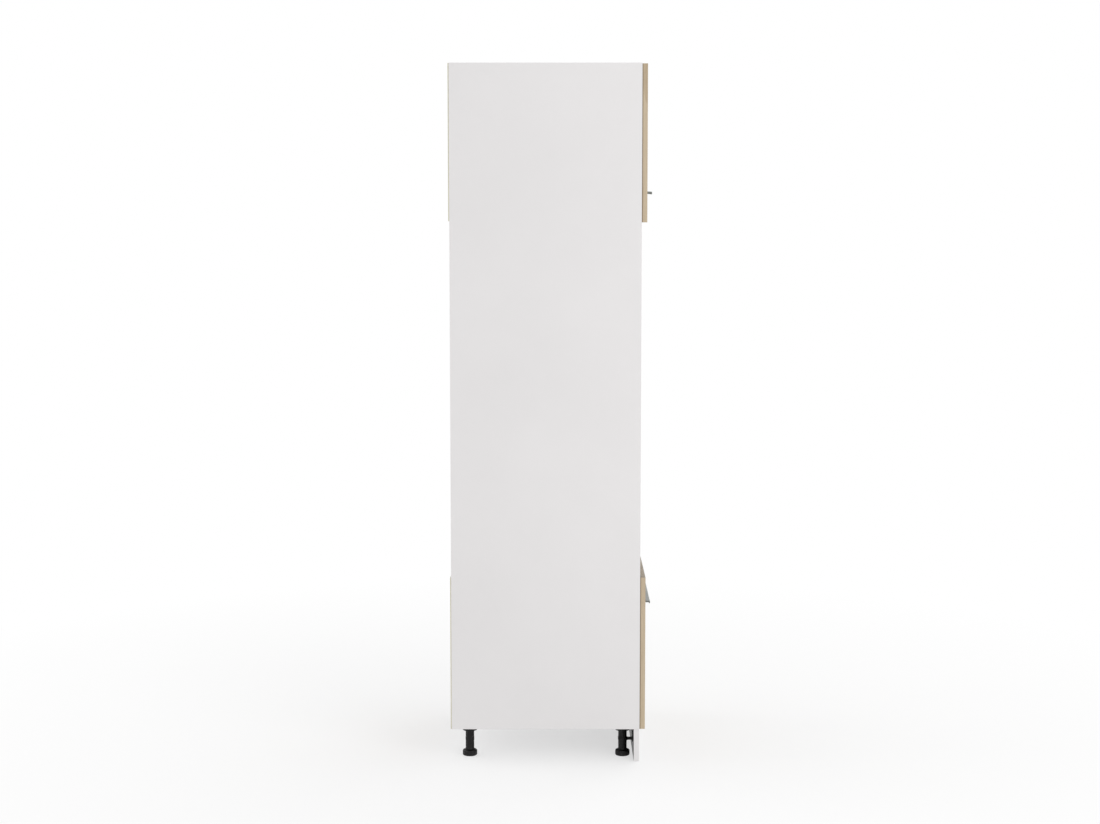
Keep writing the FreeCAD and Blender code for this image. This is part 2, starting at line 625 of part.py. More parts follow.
pin_start = f"({INNER_LEFT} + wheel_near - wheel_side_room - wheel_head_thick)"
drawer_pin = round_bar("drawer_pin", "X", "wheel_pin_r",
                       "drawer_wall_near - wheel_near + wheel_side_room + wheel_head_thick",
                       pin_start, DRAWER_WHEEL_Y, WHEEL_AXIS)
drawer_pin_head = round_bar("drawer_pin_head", "X", "wheel_head_r", "wheel_head_thick",
                            pin_start, DRAWER_WHEEL_Y, WHEEL_AXIS)
both_sides("drawer_side", fused("drawer_wall_with_pin", [
    less("drawer_wall_notched", drawer_wall, [roll_notch]), drawer_pin, drawer_pin_head]))

FLOOR_LEFT = f"({INNER_LEFT} + {WALL_INNER} + drawer_floor_fit)"
FLOOR_Z = f"({WHEEL_AXIS} - drawer_floor_drop)"
FLOOR_TOP = f"({FLOOR_Z} + board_thick)"
keep("drawer_floor", block("floor_board", FLOOR_LEFT, FRONT_REAR_FACE, FLOOR_Z,
                           f"-2 * {FLOOR_LEFT}", "drawer_length", "board_thick"))
keep("drawer_back", block("drawer_back_board", FLOOR_LEFT, f"{DRAWER_REAR} - board_thick",
                          FLOOR_TOP, f"-2 * {FLOOR_LEFT}", "board_thick",
                          "drawer_back_height"))

GALLERY_X = f"({FLOOR_LEFT} + gallery_inset)"
GALLERY_Z = f"({FLOOR_TOP} + gallery_level)"
GALLERY_START = f"({FRONT_REAR_FACE} + gallery_holder_length - gallery_holder_bore)"
both_sides("gallery_rail", round_bar(
    "gallery_bar", "Y", "gallery_r", f"{DRAWER_REAR} - board_thick - {GALLERY_START}",
    GALLERY_X, GALLERY_START, GALLERY_Z))
both_kept("gallery_holders", less("gallery_holder_bored", block(
    "gallery_holder_body", f"{GALLERY_X} - gallery_holder_half", FRONT_REAR_FACE,
    f"{GALLERY_Z} - gallery_holder_half", "2 * gallery_holder_half", "gallery_holder_length",
    "2 * gallery_holder_half"), [round_bar(
        "gallery_holder_seat", "Y", "gallery_r + screw_fit", "gallery_holder_bore", GALLERY_X,
        GALLERY_START, GALLERY_Z)]))

FIXING_X = f"({INNER_LEFT} + {WALL_INNER})"
FIXING_Z = f"({FLOOR_TOP} + fixing_lift)"
both_kept("front_fixings", fused("fixing_angle", [
    block("fixing_on_wall", FIXING_X, FRONT_REAR_FACE, FIXING_Z, "fixing_sheet",
          "fixing_wall_leg", "fixing_height"),
    block("fixing_on_front", FIXING_X, FRONT_REAR_FACE, FIXING_Z, "fixing_front_leg",
          "fixing_sheet", "fixing_height")]))

# ---------------------------------------------------------------- flap and its hinges

HINGE_X = "(hinge_inset - unit_width / 2)"
CUP_Z = f"({FLAP_TOP} - cup_drop)"
ROOF = "(cup_drop + upper_front_reveal - board_thick)"
ARM_PIN = ("(-arm_pin_depth)", "(-arm_pin_drop)")
CUP_PIN = ("(-cup_pin_depth)", "cup_pin_rise")


def at_hinge(thing, x="0", y="0", z="0"):
    """Place an object from the cup's centre on the flap's rear face, at the left hinge."""
    return place(thing, f"{HINGE_X} + {x}", f"{FRONT_REAR_FACE} + {y}", f"{CUP_Z} + {z}")


def hinge_bar(name, axis, radius, length, x, y, z):
    """A cylinder placed from the cup's centre."""
    return round_bar(name, axis, radius, length, f"{HINGE_X} + {x}",
                     f"{FRONT_REAR_FACE} + {y}", f"{CUP_Z} + {z}")


cup_shell = fused("cup_shell", [
    hinge_bar("cup_outside", "Y", "cup_r", "cup_depth", "0", "-cup_depth", "0"),
    at_hinge(bind(doc.addObject("Part::Box", "cup_wings"), Length="wing_length",
                  Width="wing_thick", Height="wing_height"), "-wing_length / 2", "0",
             "-wing_height / 2")])
cup_open = less("cup_open", cup_shell, [
    hinge_bar("cup_inside", "Y", "cup_r - cup_wall", "cup_depth - cup_floor + wing_thick", "0",
              "cup_floor - cup_depth", "0")])
cup_pin = hinge_bar("cup_pin", "X", "hinge_pin_r", "2 * cup_pin_half", "-cup_pin_half", *CUP_PIN)
both_kept("hinge_cups", fused("cup_with_pin", [cup_open, cup_pin]))

LINK_RUN = "(arm_pin_depth - cup_pin_depth)"
LINK_RISE = "(arm_pin_drop + cup_pin_rise)"
LINK_LENGTH = f"sqrt({LINK_RUN} ^ 2 + {LINK_RISE} ^ 2)"
link_edge = [
    ("link_thick / 2", "0.9 * hinge_eye_r"), ("0.7 * hinge_eye_r", "0.7 * hinge_eye_r"),
    ("hinge_eye_r", "0"), ("0.7 * hinge_eye_r", "-0.7 * hinge_eye_r"),
    ("0", "-hinge_eye_r"), ("-0.7 * hinge_eye_r", "-0.7 * hinge_eye_r"),
    ("-hinge_eye_r", "0"), ("-0.7 * hinge_eye_r", "0.7 * hinge_eye_r"),
    ("-link_thick / 2", "0.9 * hinge_eye_r")]
far_edge = [(f"-({across})", f"{LINK_LENGTH} - ({along})") for across, along in link_edge]
link_bar = profile_along_x("link_bar", link_edge + far_edge, "link_width")
link_bar.Placement = FreeCAD.Placement(FreeCAD.Vector(), FreeCAD.Rotation(-X_AXIS, 1))
link_bar.setExpression("Placement.Rotation.Angle", bound(f"atan({LINK_RUN} / {LINK_RISE})"))
at_hinge(link_bar, "-link_width / 2", *ARM_PIN)
link_bores = [hinge_bar(f"link_bore_{index}", "X", "hinge_pin_r + hinge_fit", "link_width",
                        "-link_width / 2", *pin) for index, pin in enumerate((ARM_PIN, CUP_PIN))]
both_kept("hinge_links", less("link_bored", link_bar, link_bores))

ARM_TOP = f"({ROOF} - hinge_plate_thick)"
ARM_LOW = f"({ARM_TOP} - arm_height)"
TIP_LOW = "(-arm_pin_drop - hinge_eye_r)"
TIP_NOSE = "(-arm_pin_depth - 0.7 * hinge_eye_r)"
arm_side = [
    ("arm_length", ARM_TOP), ("arm_knee + front_gap", ARM_TOP),
    ("front_gap", f"{ARM_TOP} - arm_height + arm_web"),
    ("-arm_pin_depth", "hinge_eye_r - arm_pin_drop"),
    (TIP_NOSE, "0.7 * hinge_eye_r - arm_pin_drop"),
    ("-arm_pin_depth - hinge_eye_r", "-arm_pin_drop"),
    (TIP_NOSE, "-0.7 * hinge_eye_r - arm_pin_drop"),
    ("-arm_pin_depth", TIP_LOW), ("-front_gap", TIP_LOW),
    ("arm_knee", ARM_LOW), ("arm_length", ARM_LOW)]
web_side = [
    ("arm_length", ARM_LOW), ("arm_length", f"{ARM_LOW} + arm_web"),
    ("arm_knee", f"{ARM_LOW} + arm_web"), ("-front_gap", f"{TIP_LOW} + arm_web"),
    ("-front_gap", TIP_LOW), ("arm_knee", ARM_LOW)]
arm_pieces = []
for index, start in enumerate(("-arm_half_width", "arm_half_width - arm_cheek")):
    cheek = profile_along_x(f"arm_cheek_{index}", arm_side, "arm_cheek")
    arm_pieces.append(at_hinge(cheek, start))
web = profile_along_x("arm_web_strip", web_side, "2 * arm_half_width")
arm_pieces.append(at_hinge(web, "-arm_half_width"))
arm_pieces.append(hinge_bar("arm_pin", "X", "hinge_pin_r", "2 * arm_half_width",
                            "-arm_half_width", *ARM_PIN))
both_sides("hinge_arm", fused("arm_solid", arm_pieces))

hinge_plate = bind(doc.addObject("Part::Box", "hinge_plate"), Length="hinge_plate_width",
                   Width="hinge_plate_length", Height="hinge_plate_thick")
both_kept("hinge_plates", at_hinge(
    hinge_plate, "-hinge_plate_width / 2",
    "arm_length - hinge_plate_end - hinge_plate_length", ARM_TOP))

cup_pockets = []
for side, sign in LEG_SIDES.items():
    cup_pockets.append(round_bar(f"cup_pocket_{side}", "Y", "cup_r + cup_fit", "cup_depth",
                                 f"{-sign} * {HINGE_X}", f"{FRONT_REAR_FACE} - cup_depth",
                                 CUP_Z))
keep("flap_front", less("flap_drilled", front_board("flap_board", FLAP_BOTTOM, FLAP_TOP),
                        cup_pockets + handle_holes("flap", UPPER_HANDLE)))

# ---------------------------------------------------------------- gas struts

STRUT_X = f"({INNER_LEFT} + strut_near)"
SEAT_Y = f"({CARCASS_FRONT} + strut_seat_back)"
SEAT_Z = f"({TOP_PANEL} - strut_seat_drop)"
STRUT_RUN = "(strut_seat_back + front_gap - strut_flap_stand)"
STRUT_RISE = "(strut_seat_drop - strut_flap_drop)"
STRUT_LENGTH = f"sqrt({STRUT_RUN} ^ 2 + {STRUT_RISE} ^ 2)"
TUBE_END = "(strut_tube_start + strut_tube_length)"
PISTON_TOP = "(strut_piston_start + strut_piston_thick)"
ROD_BORE = "(strut_rod_r + strut_rod_fit)"
FITTING_FAR = "(strut_near + strut_end_half)"


def along_strut(thing, drop=0):
    """Lean an object that was drawn upright so that it runs from the lower seat to the upper."""
    thing.Placement = FreeCAD.Placement(FreeCAD.Vector(), FreeCAD.Rotation(X_AXIS, 1))
    thing.setExpression("Placement.Rotation.Angle", bound(f"atan({STRUT_RUN} / {STRUT_RISE})"))
    return place(thing, STRUT_X, SEAT_Y, SEAT_Z)


def lean_fitting(name, start, length):
    """An end fitting, centred on the axis and leaned with the strut."""
    body = doc.addObject("PartDesign::Body", name)
    sketch = outline(body, "XZ_Plane", [
        ("-strut_end_half", start), ("strut_end_half", start),
        ("strut_end_half", f"{start} + {length}"), ("-strut_end_half", f"{start} + {length}")])
    bind(sketch, **{"AttachmentOffset.Base.z": "strut_end_half"})
    pad = body.newObject("PartDesign::Pad", name + "_pad")
    pad.Profile = sketch
    pad.Reversed = True
    bind(pad, Length="2 * strut_end_half")
    return along_strut(body)


strut_tube = along_strut(turned("strut_tube", [
    ("0", "strut_tube_start"), ("strut_tube_r", "strut_tube_start"), ("strut_tube_r", TUBE_END),
    (ROD_BORE, TUBE_END), (ROD_BORE, f"{TUBE_END} - strut_cap"),
    ("strut_bore_r", f"{TUBE_END} - strut_cap"), ("strut_bore_r", "strut_tube_start + strut_cap"),
    ("0", "strut_tube_start + strut_cap")]))
lower_fitting = lean_fitting("strut_lower_fitting", "-strut_end_tail",
                             "strut_end_tail + strut_tube_start")
stud_bore = round_bar("strut_stud_bore", "X", "strut_stud_r + strut_rod_fit",
                      "2 * strut_end_half", f"{STRUT_X} - strut_end_half", SEAT_Y, SEAT_Z)
both_sides("strut_cylinder", less("strut_tube_bored", fused(
    "strut_tube_solid", [strut_tube, lower_fitting]), [stud_bore]))

strut_bar = along_strut(turned("strut_bar", [
    ("0", "strut_piston_start"), ("strut_bore_r - strut_rod_fit", "strut_piston_start"),
    ("strut_bore_r - strut_rod_fit", PISTON_TOP), ("strut_rod_r", PISTON_TOP),
    ("strut_rod_r", f"{STRUT_LENGTH} - strut_end_tail"),
    ("0", f"{STRUT_LENGTH} - strut_end_tail")]))
upper_fitting = lean_fitting("strut_upper_fitting", f"{STRUT_LENGTH} - strut_end_tail",
                             "2 * strut_end_tail")
both_sides("strut_rod", fused("strut_rod_solid", [strut_bar, upper_fitting]))

STUD_START = f"{INNER_LEFT} + strut_seat_thick"
both_kept("strut_seats", fused("seat_solid", [
    block("seat_plate", INNER_LEFT, f"{SEAT_Y} - strut_seat_width / 2",
          f"{SEAT_Z} - strut_seat_width / 2", "strut_seat_thick", "strut_seat_width",
          "strut_seat_width"),
    block("seat_collar", STUD_START, f"{SEAT_Y} - strut_collar_half",
          f"{SEAT_Z} - strut_collar_half",
          "strut_near - strut_end_half - strut_side_gap - strut_seat_thick",
          "2 * strut_collar_half", "2 * strut_collar_half"),
    round_bar("seat_stud", "X", "strut_stud_r",
              f"{FITTING_FAR} + strut_side_gap - strut_seat_thick", STUD_START, SEAT_Y,
              SEAT_Z)]))

ANGLE_X = f"({INNER_LEFT} + {FITTING_FAR} + strut_side_gap)"
UPPER_Z = f"({TOP_PANEL} - strut_flap_drop)"
both_sides("strut_angle", fused("flap_angle", [
    block("angle_base", ANGLE_X, FRONT_REAR_FACE, f"{UPPER_Z} - strut_angle_height / 2",
          "strut_angle_width", "strut_angle_sheet", "strut_angle_height"),
    block("angle_upright", ANGLE_X, FRONT_REAR_FACE, f"{UPPER_Z} - strut_end_half",
          "strut_angle_sheet", "strut_flap_stand + strut_end_half", "2 * strut_end_half")]))

# ---------------------------------------------------------------- write the sub-parts

doc.recompute()
for thing in doc.Objects:
    if {"Invalid", "Error"} & set(thing.State):
        raise RuntimeError(f"{thing.Name} failed: {thing.State}")
for node, thing in sub_parts.items():
    if thing.Shape.isNull() or not thing.Shape.isValid():
        raise RuntimeError(f"{node} has no valid shape")

os.makedirs("parts", exist_ok=True)
for node, thing in sub_parts.items():
    thing.Shape.exportStep(f"parts/{node}.step")
    print(node, len(thing.Shape.Solids), round(thing.Shape.Volume))
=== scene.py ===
"""Looks of the tall oven housing: finishes for its boards and fittings, and fine pieces on them.

Metres.  X runs across the housing, the fronts face -Y and +Z is up.  Every new piece is a surface
worked out with numpy on a grid of two parameters, or a profile carried along a path.
"""
import json
import math
from types import SimpleNamespace

import bpy
import numpy as np
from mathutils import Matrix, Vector

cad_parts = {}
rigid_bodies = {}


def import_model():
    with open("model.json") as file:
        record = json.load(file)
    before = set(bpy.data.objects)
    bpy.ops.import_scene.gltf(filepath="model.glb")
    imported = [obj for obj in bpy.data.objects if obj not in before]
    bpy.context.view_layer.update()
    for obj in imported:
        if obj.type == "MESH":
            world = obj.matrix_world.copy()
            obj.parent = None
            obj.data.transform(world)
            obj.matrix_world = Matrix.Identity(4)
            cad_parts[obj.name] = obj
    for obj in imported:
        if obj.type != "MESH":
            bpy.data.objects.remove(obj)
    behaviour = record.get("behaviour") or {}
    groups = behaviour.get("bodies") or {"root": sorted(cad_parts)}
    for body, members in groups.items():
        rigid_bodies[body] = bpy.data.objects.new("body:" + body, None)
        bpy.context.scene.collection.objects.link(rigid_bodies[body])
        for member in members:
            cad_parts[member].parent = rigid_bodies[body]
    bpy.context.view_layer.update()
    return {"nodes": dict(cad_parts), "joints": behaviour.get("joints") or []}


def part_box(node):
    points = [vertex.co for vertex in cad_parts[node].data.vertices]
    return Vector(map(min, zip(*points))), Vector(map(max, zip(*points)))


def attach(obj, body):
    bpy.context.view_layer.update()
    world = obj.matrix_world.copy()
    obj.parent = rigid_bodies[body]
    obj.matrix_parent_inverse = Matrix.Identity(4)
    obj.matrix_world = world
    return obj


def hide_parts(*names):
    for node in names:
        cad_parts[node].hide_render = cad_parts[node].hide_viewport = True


for leftover in list(bpy.data.objects):
    bpy.data.objects.remove(leftover)
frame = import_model()

bl_info = {
    "name": "Tall Oven Housing Looks",
    "version": (1, 0, 0),
    "blender": (4, 5, 0),
    "location": "3D View > Sidebar > Housing",
    "description": "Finishes and fine pieces of a tall kitchen housing for a built-in oven",
    "category": "Object",
}

X = np.array([1.0, 0.0, 0.0])
Y = np.array([0.0, 1.0, 0.0])
Z = np.array([0.0, 0.0, 1.0])
SIDES = {"left": -1.0, "right": 1.0}
SHELVES = ["bottom_panel", "oven_shelf", "niche_shelf", "upper_shelf", "top_panel"]
NAILED_SHELVES = ["bottom_panel", "oven_shelf", "upper_shelf", "top_panel"]
# Painted shade: the oak bands on the level edges of the fronts are painted this much darker than
# the upright ones.
LEVEL_PAINTED_SHADE = 0.55


def srgb(red, green, blue):
    """A colour seen on a screen, 0 to 255, as the linear light that shaders take."""
    shown = np.array([red, green, blue]) / 255
    linear = np.where(shown <= 0.04045, shown / 12.92, ((shown + 0.055) / 1.055) ** 2.4)
    return tuple(float(part) for part in linear)


def box(node):
    """Lowest and highest corner of a node, as arrays."""
    low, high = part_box(node)
    return np.array(low), np.array(high)


def middle(node):
    """Centre of a node's box."""
    low, high = box(node)
    return (low + high) / 2


def joint(name):
    """A joint of the frame by its name."""
    return next(found for found in frame["joints"] if found["name"] == name)


# ---------------------------------------------------------------- surfaces


def grid_quads(rows, columns, wrap_rows=False, wrap_columns=False):
    """Corner numbers of a grid's quads; a wrapped direction joins its last line to its first."""
    index = np.arange(rows * columns).reshape(rows, columns)
    if wrap_rows:
        index = np.vstack([index, index[:1]])
    if wrap_columns:
        index = np.hstack([index, index[:, :1]])
    corners = [index[:-1, :-1], index[:-1, 1:], index[1:, 1:], index[1:, :-1]]
    return np.stack(corners, axis=-1).reshape(-1, 4)


def turned(profile, columns=48, swell=None):
    """Surface of revolution about Z: radius and height run along the profile, the angle round it.

    x = r cos a, y = r sin a, z = h.  The profile runs up the outside, so faces look outwards; where
    r is zero the ring shrinks to a pole.  swell(r, h, a) gives a new radius for each grid point.
    """
    radius, height = np.array(profile, float).T[:, :, None]
    angle = np.linspace(0, 2 * np.pi, columns, endpoint=False)[None, :]
    if swell is not None:
        radius = swell(radius + 0 * angle, height, angle)
    points = np.stack([radius * np.cos(angle), radius * np.sin(angle), height + 0 * angle], axis=-1)
    closed = np.allclose(profile[0], profile[-1])
    if closed:
        points = points[:-1]
    quads = grid_quads(points.shape[0], columns, wrap_rows=closed, wrap_columns=True)
    return points.reshape(-1, 3), quads


def ring_profile(lower):
    """Closed profile of a ring, from its lower half and the mirror image of that above it."""
    return [*lower, *((radius, -height) for radius, height in reversed(lower)), lower[0]]


def rounded_outline(corners, radii, steps=5):
    """A closed outline with its corners eased.

    Each corner C becomes a parabola from A to B, the points on its two edges at the corner's
    radius: (1 - t)^2 A + 2 t (1 - t) C + t^2 B with t from 0 to 1.
    """
    corner = np.array(corners, float)
    radius = np.broadcast_to(np.array(radii, float), len(corner))[:, None]
    to_last = np.roll(corner, 1, axis=0) - corner
    to_next = np.roll(corner, -1, axis=0) - corner
    start = corner + radius * to_last / np.linalg.norm(to_last, axis=1)[:, None]
    end = corner + radius * to_next / np.linalg.norm(to_next, axis=1)[:, None]
    t = np.linspace(0, 1, steps)[None, :, None]
    eased = (1 - t) ** 2 * start[:, None] + 2 * t * (1 - t) * corner[:, None] + t**2 * end[:, None]
    return eased.reshape(-1, 2)


def carried(profile, path, upright, closed=False):
    """A closed profile carried along a path of straight runs with mitred corners.

    At each path point the profile's first number runs sideways, along the mean of the two runs'
    side vectors lengthened by 1 / cos(half the bend), and its second along the upright vector.
    Flat ends close an open path.
    """
    profile, path = np.array(profile, float), np.array(path, float)
    run = np.roll(path, -1, axis=0) - path
    if not closed:
        run[-1] = run[-2]
    run = run / np.linalg.norm(run, axis=1)[:, None]
    before = np.roll(run, 1, axis=0)
    if not closed:
        before[0] = run[0]
    side = np.cross(run, upright)
    mean = side + np.cross(before, upright)
    mean = mean / np.linalg.norm(mean, axis=1)[:, None]
    mean = mean / np.sum(mean * side, axis=1)[:, None]
    points = path[:, None] + mean[:, None] * profile[None, :, :1] + upright * profile[None, :, 1:]
    rows, columns = points.shape[:2]
    quads = grid_quads(rows, columns, wrap_rows=closed, wrap_columns=True)
    around = np.arange(columns)
    caps = [] if closed else [around[::-1], around + (rows - 1) * columns]
    return points.reshape(-1, 3), quads, caps


def eased_block(size, radius, edge, steps=4):
    """A block with round upright corners and eased upper and lower edges, centred on the origin.

    The rows climb the block; at height h from an end the outline is drawn in by
    e - sqrt(e^2 - (e - h)^2), a quarter circle of the edge radius e, and each end closes in its
    middle.
    """
    half = np.array(size, float) / 2
    corner_x = np.array([1, -1, -1, 1.0]) * (half[0] - radius)
    corner_y = np.array([1, 1, -1, -1.0]) * (half[1] - radius)
    angle = np.linspace(0, np.pi / 2, steps + 1)[None, :] + np.arange(4)[:, None] * np.pi / 2
    centre = np.stack([corner_x, corner_y], axis=-1)[:, None, :]
    turn = np.stack([np.cos(angle), np.sin(angle)], axis=-1)
    bend = np.linspace(0, np.pi / 2, steps + 1)
    opening, closing = edge * (1 - np.sin(bend)), edge * (1 - np.cos(bend))
    inset = np.concatenate([opening, closing])
    level = np.concatenate([closing - half[2], half[2] - opening])
    rings = centre[None] + turn[None] * (radius - inset)[:, None, None, None]
    rings = rings.reshape(len(inset), -1, 2)
    heights = np.broadcast_to(level[:, None, None], rings.shape[:2] + (1,))
    points = np.concatenate([rings, heights], axis=-1)
    ends = [np.broadcast_to([0, 0, end], (1,) + points.shape[1:]) for end in (-half[2], half[2])]
    points = np.concatenate([ends[0], points, ends[1]])
    return points.reshape(-1, 3), grid_quads(*points.shape[:2], wrap_columns=True)


def recessed_head(radius, height, crown, arm_width, arm_reach, depth, columns=32, rows=11):
    """A screw head, nearly flat on top, with a cross let into it.

    On a polar grid the top is height + crown (1 - (r / R)^2); a smooth cross is cut from it where
    min(|x|, |y|) is under half the arm's width and max(|x|, |y|) is under the arm's reach.  The top
    is drawn in to 0.94 R at its rim, over an edge a quarter of the height deep.
    """
    share = np.linspace(0, 1, rows)[:, None]
    angle = np.linspace(0, 2 * np.pi, columns, endpoint=False)[None, :]
    x, y = radius * share * np.cos(angle), radius * share * np.sin(angle)
    across = np.minimum(np.abs(x), np.abs(y))
    along = np.maximum(np.abs(x), np.abs(y))
    softness = 0.08 * radius
    cut = (np.clip((arm_width / 2 - across) / softness + 0.5, 0, 1)
           * np.clip((arm_reach - along) / softness + 0.5, 0, 1))
    top = height + crown * (1 - share**2) - depth * cut
    cap = np.stack([x, y, top], axis=-1)[::-1]
    foot = cap[:1] * [1, 1, 0]
    edge = cap[:1] - [0, 0, 0.25 * height]
    cap[0, :, :2] *= 0.94
    points = np.concatenate([foot, edge, cap])
    return points.reshape(-1, 3), grid_quads(*points.shape[:2], wrap_columns=True)


def dome(radius, height, columns=12, rows=4):
    """A low dome: z = height cos(b) and r = radius sin(b) with b from a quarter turn to zero."""
    bend = np.linspace(np.pi / 2, 0, rows)
    return turned(np.stack([radius * np.sin(bend), height * np.cos(bend)], axis=-1), columns)


def basis(axis, roll=0.0):
    """Turning matrix that carries Z to the axis, with a roll about it."""
    axis = np.array(axis, float) / np.linalg.norm(axis)
    helper = X if abs(axis[0]) < 0.9 else Y
    first = np.cross(helper, axis)
    first = first / np.linalg.norm(first)
    second = np.cross(axis, first)
    return np.stack([first * math.cos(roll) + second * math.sin(roll),
                     second * math.cos(roll) - first * math.sin(roll), axis], axis=-1)


def placed(surface, origin, axis=(0, 0, 1), roll=0.0):
    """A surface drawn about Z, carried to a point and an axis."""
    points, *rest = surface
    return (points @ basis(axis, roll).T + np.array(origin, float), *rest)


def stamped(surface, origins, axis=(0, 0, 1), roll=0.4):
    """Copies of a surface at many points, each rolled a little further than the last."""
    return joined([placed(surface, origin, axis, roll * (1 + 1.7 * number))
                   for number, origin in enumerate(origins)])


def joined(surfaces):
    """Several surfaces as one, with their corner numbers moved on."""
    points, quads, caps = [], [], []
    count = 0
    for found, faces, *ends in surfaces:
        points.append(found)
        quads.append(faces + count)
        caps.extend(cap + count for cap in (ends[0] if ends else []))
        count += len(found)
    return np.concatenate(points), np.concatenate(quads), caps


def both(surface, *rest):
    """Surfaces and their mirror image across the housing's middle, turned the right way out."""
    points, quads, caps = joined([surface, *rest])
    mirror = (points * [-1, 1, 1], quads[:, ::-1], [cap[::-1] for cap in caps])
    return joined([(points, quads, caps), mirror])


def put(name, data):
    """A new object in the scene."""
    made = bpy.data.objects.new(name, data)
    bpy.context.scene.collection.objects.link(made)
    return made


def piece(name, surface, finish, body, sharp=35, bevel=0.0, instead_of=None,
          finish_of_face=None):
    """Put a surface into a mesh, give it its finish and make it ride on its body.

    Points nearer than a tenth of a micron become one, so poles and seams close, and a quad that
    has lost a corner becomes a triangle.
    """
    points, quads, *ends = surface
    merged_at = np.round(points, 7) + 0.0
    _, first, merged = np.unique(merged_at, axis=0, return_index=True, return_inverse=True)
    merged = merged.reshape(-1)
    corners = merged[quads]
    stays = corners != np.roll(corners, -1, axis=1)
    whole = stays.sum(axis=1) > 2
    loops = corners[whole][stays[whole]]
    counts = stays[whole].sum(axis=1)
    for cap in (ends[0] if ends else []):
        loops = np.concatenate([loops, merged[cap]])
        counts = np.append(counts, len(cap))
    mesh = bpy.data.meshes.new(name)
    mesh.vertices.add(len(first))
    mesh.vertices.foreach_set("co", points[first].astype(np.float32).ravel())
    mesh.loops.add(len(loops))
    mesh.loops.foreach_set("vertex_index", loops.astype(np.int32))
    mesh.polygons.add(len(counts))
    mesh.polygons.foreach_set("loop_start", (np.cumsum(counts) - counts).astype(np.int32))
    for found in finish if isinstance(finish, list) else [finish]:
        mesh.materials.append(found)
    if finish_of_face is not None:
        chosen = np.concatenate([finish_of_face[whole], np.zeros(len(counts) - whole.sum())])
        mesh.polygons.foreach_set("material_index", chosen.astype(np.int32))
    mesh.update(calc_edges=True)
    if mesh.validate(verbose=False):
        raise RuntimeError(f"the surface of {name} has faults")
    mesh.polygons.foreach_set("use_smooth", np.ones(len(mesh.polygons), bool))
    mesh.set_sharp_from_angle(angle=math.radians(sharp))
    made = put(name, mesh)
    if bevel:
        ease(made, bevel, weld=False)
    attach(made, body)
    if instead_of:
        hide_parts(instead_of)


def zinc_piece(name, surface, body="carcass"):
    """Screws or rivets in zinc plate."""
    piece(name, surface, finish("zinc_steel"), body)


def ease(thing, width, weld=True):
    """Ease the sharp edges of a piece; a node's loose triangles are joined first."""
    if weld:
        join = thing.modifiers.new("Join corners", "WELD")
        join.merge_threshold = 1e-6
    edge = thing.modifiers.new("Eased edges", "BEVEL")
    edge.width = width
    edge.segments = 2
    edge.limit_method = "ANGLE"
    edge.angle_limit = math.radians(35)
    edge.use_clamp_overlap = True
    edge.harden_normals = True


def dress(nodes, finish, width=0.0):
    """Give nodes their finish and eased edges."""
    for name in nodes:
        node = frame["nodes"][name]
        node.material_slots[0].material = finish
        if width:
            ease(node, width)


# ---------------------------------------------------------------- finishes


class Nodes:
    """A shader tree whose nodes are added one after another."""

    def __init__(self, tree):
        self.tree = tree

    def feed(self, node, inputs):
        """Set or link a node's inputs by name or number."""
        for key, value in inputs.items():
            socket = node.inputs[key]
            if isinstance(value, bpy.types.NodeSocket):
                self.tree.links.new(value, socket)
            elif isinstance(value, tuple) and len(value) == 3 and socket.type == "RGBA":
                socket.default_value = (*value, 1.0)
            else:
                socket.default_value = value

    def node(self, kind, inputs=None, **settings):
        """Add a node with its settings and inputs."""
        made = self.tree.nodes.new("ShaderNode" + kind)
        for key, value in settings.items():
            setattr(made, key, value)
        self.feed(made, inputs or {})
        return made

    def maths(self, operation, first, second=0.0, clamp=False):
        """A sum or other operation on two numbers."""
        return self.node("Math", {0: first, 1: second}, operation=operation,
                         use_clamp=clamp).outputs[0]

    def seen(self):
        """One for rays from the camera, from mirrors and through clear things, else nought."""
        rays = self.node("LightPath").outputs
        return self.maths("MAXIMUM", rays["Is Camera Ray"], self.maths(
            "MAXIMUM", rays["Is Glossy Ray"], rays["Is Transmission Ray"]))


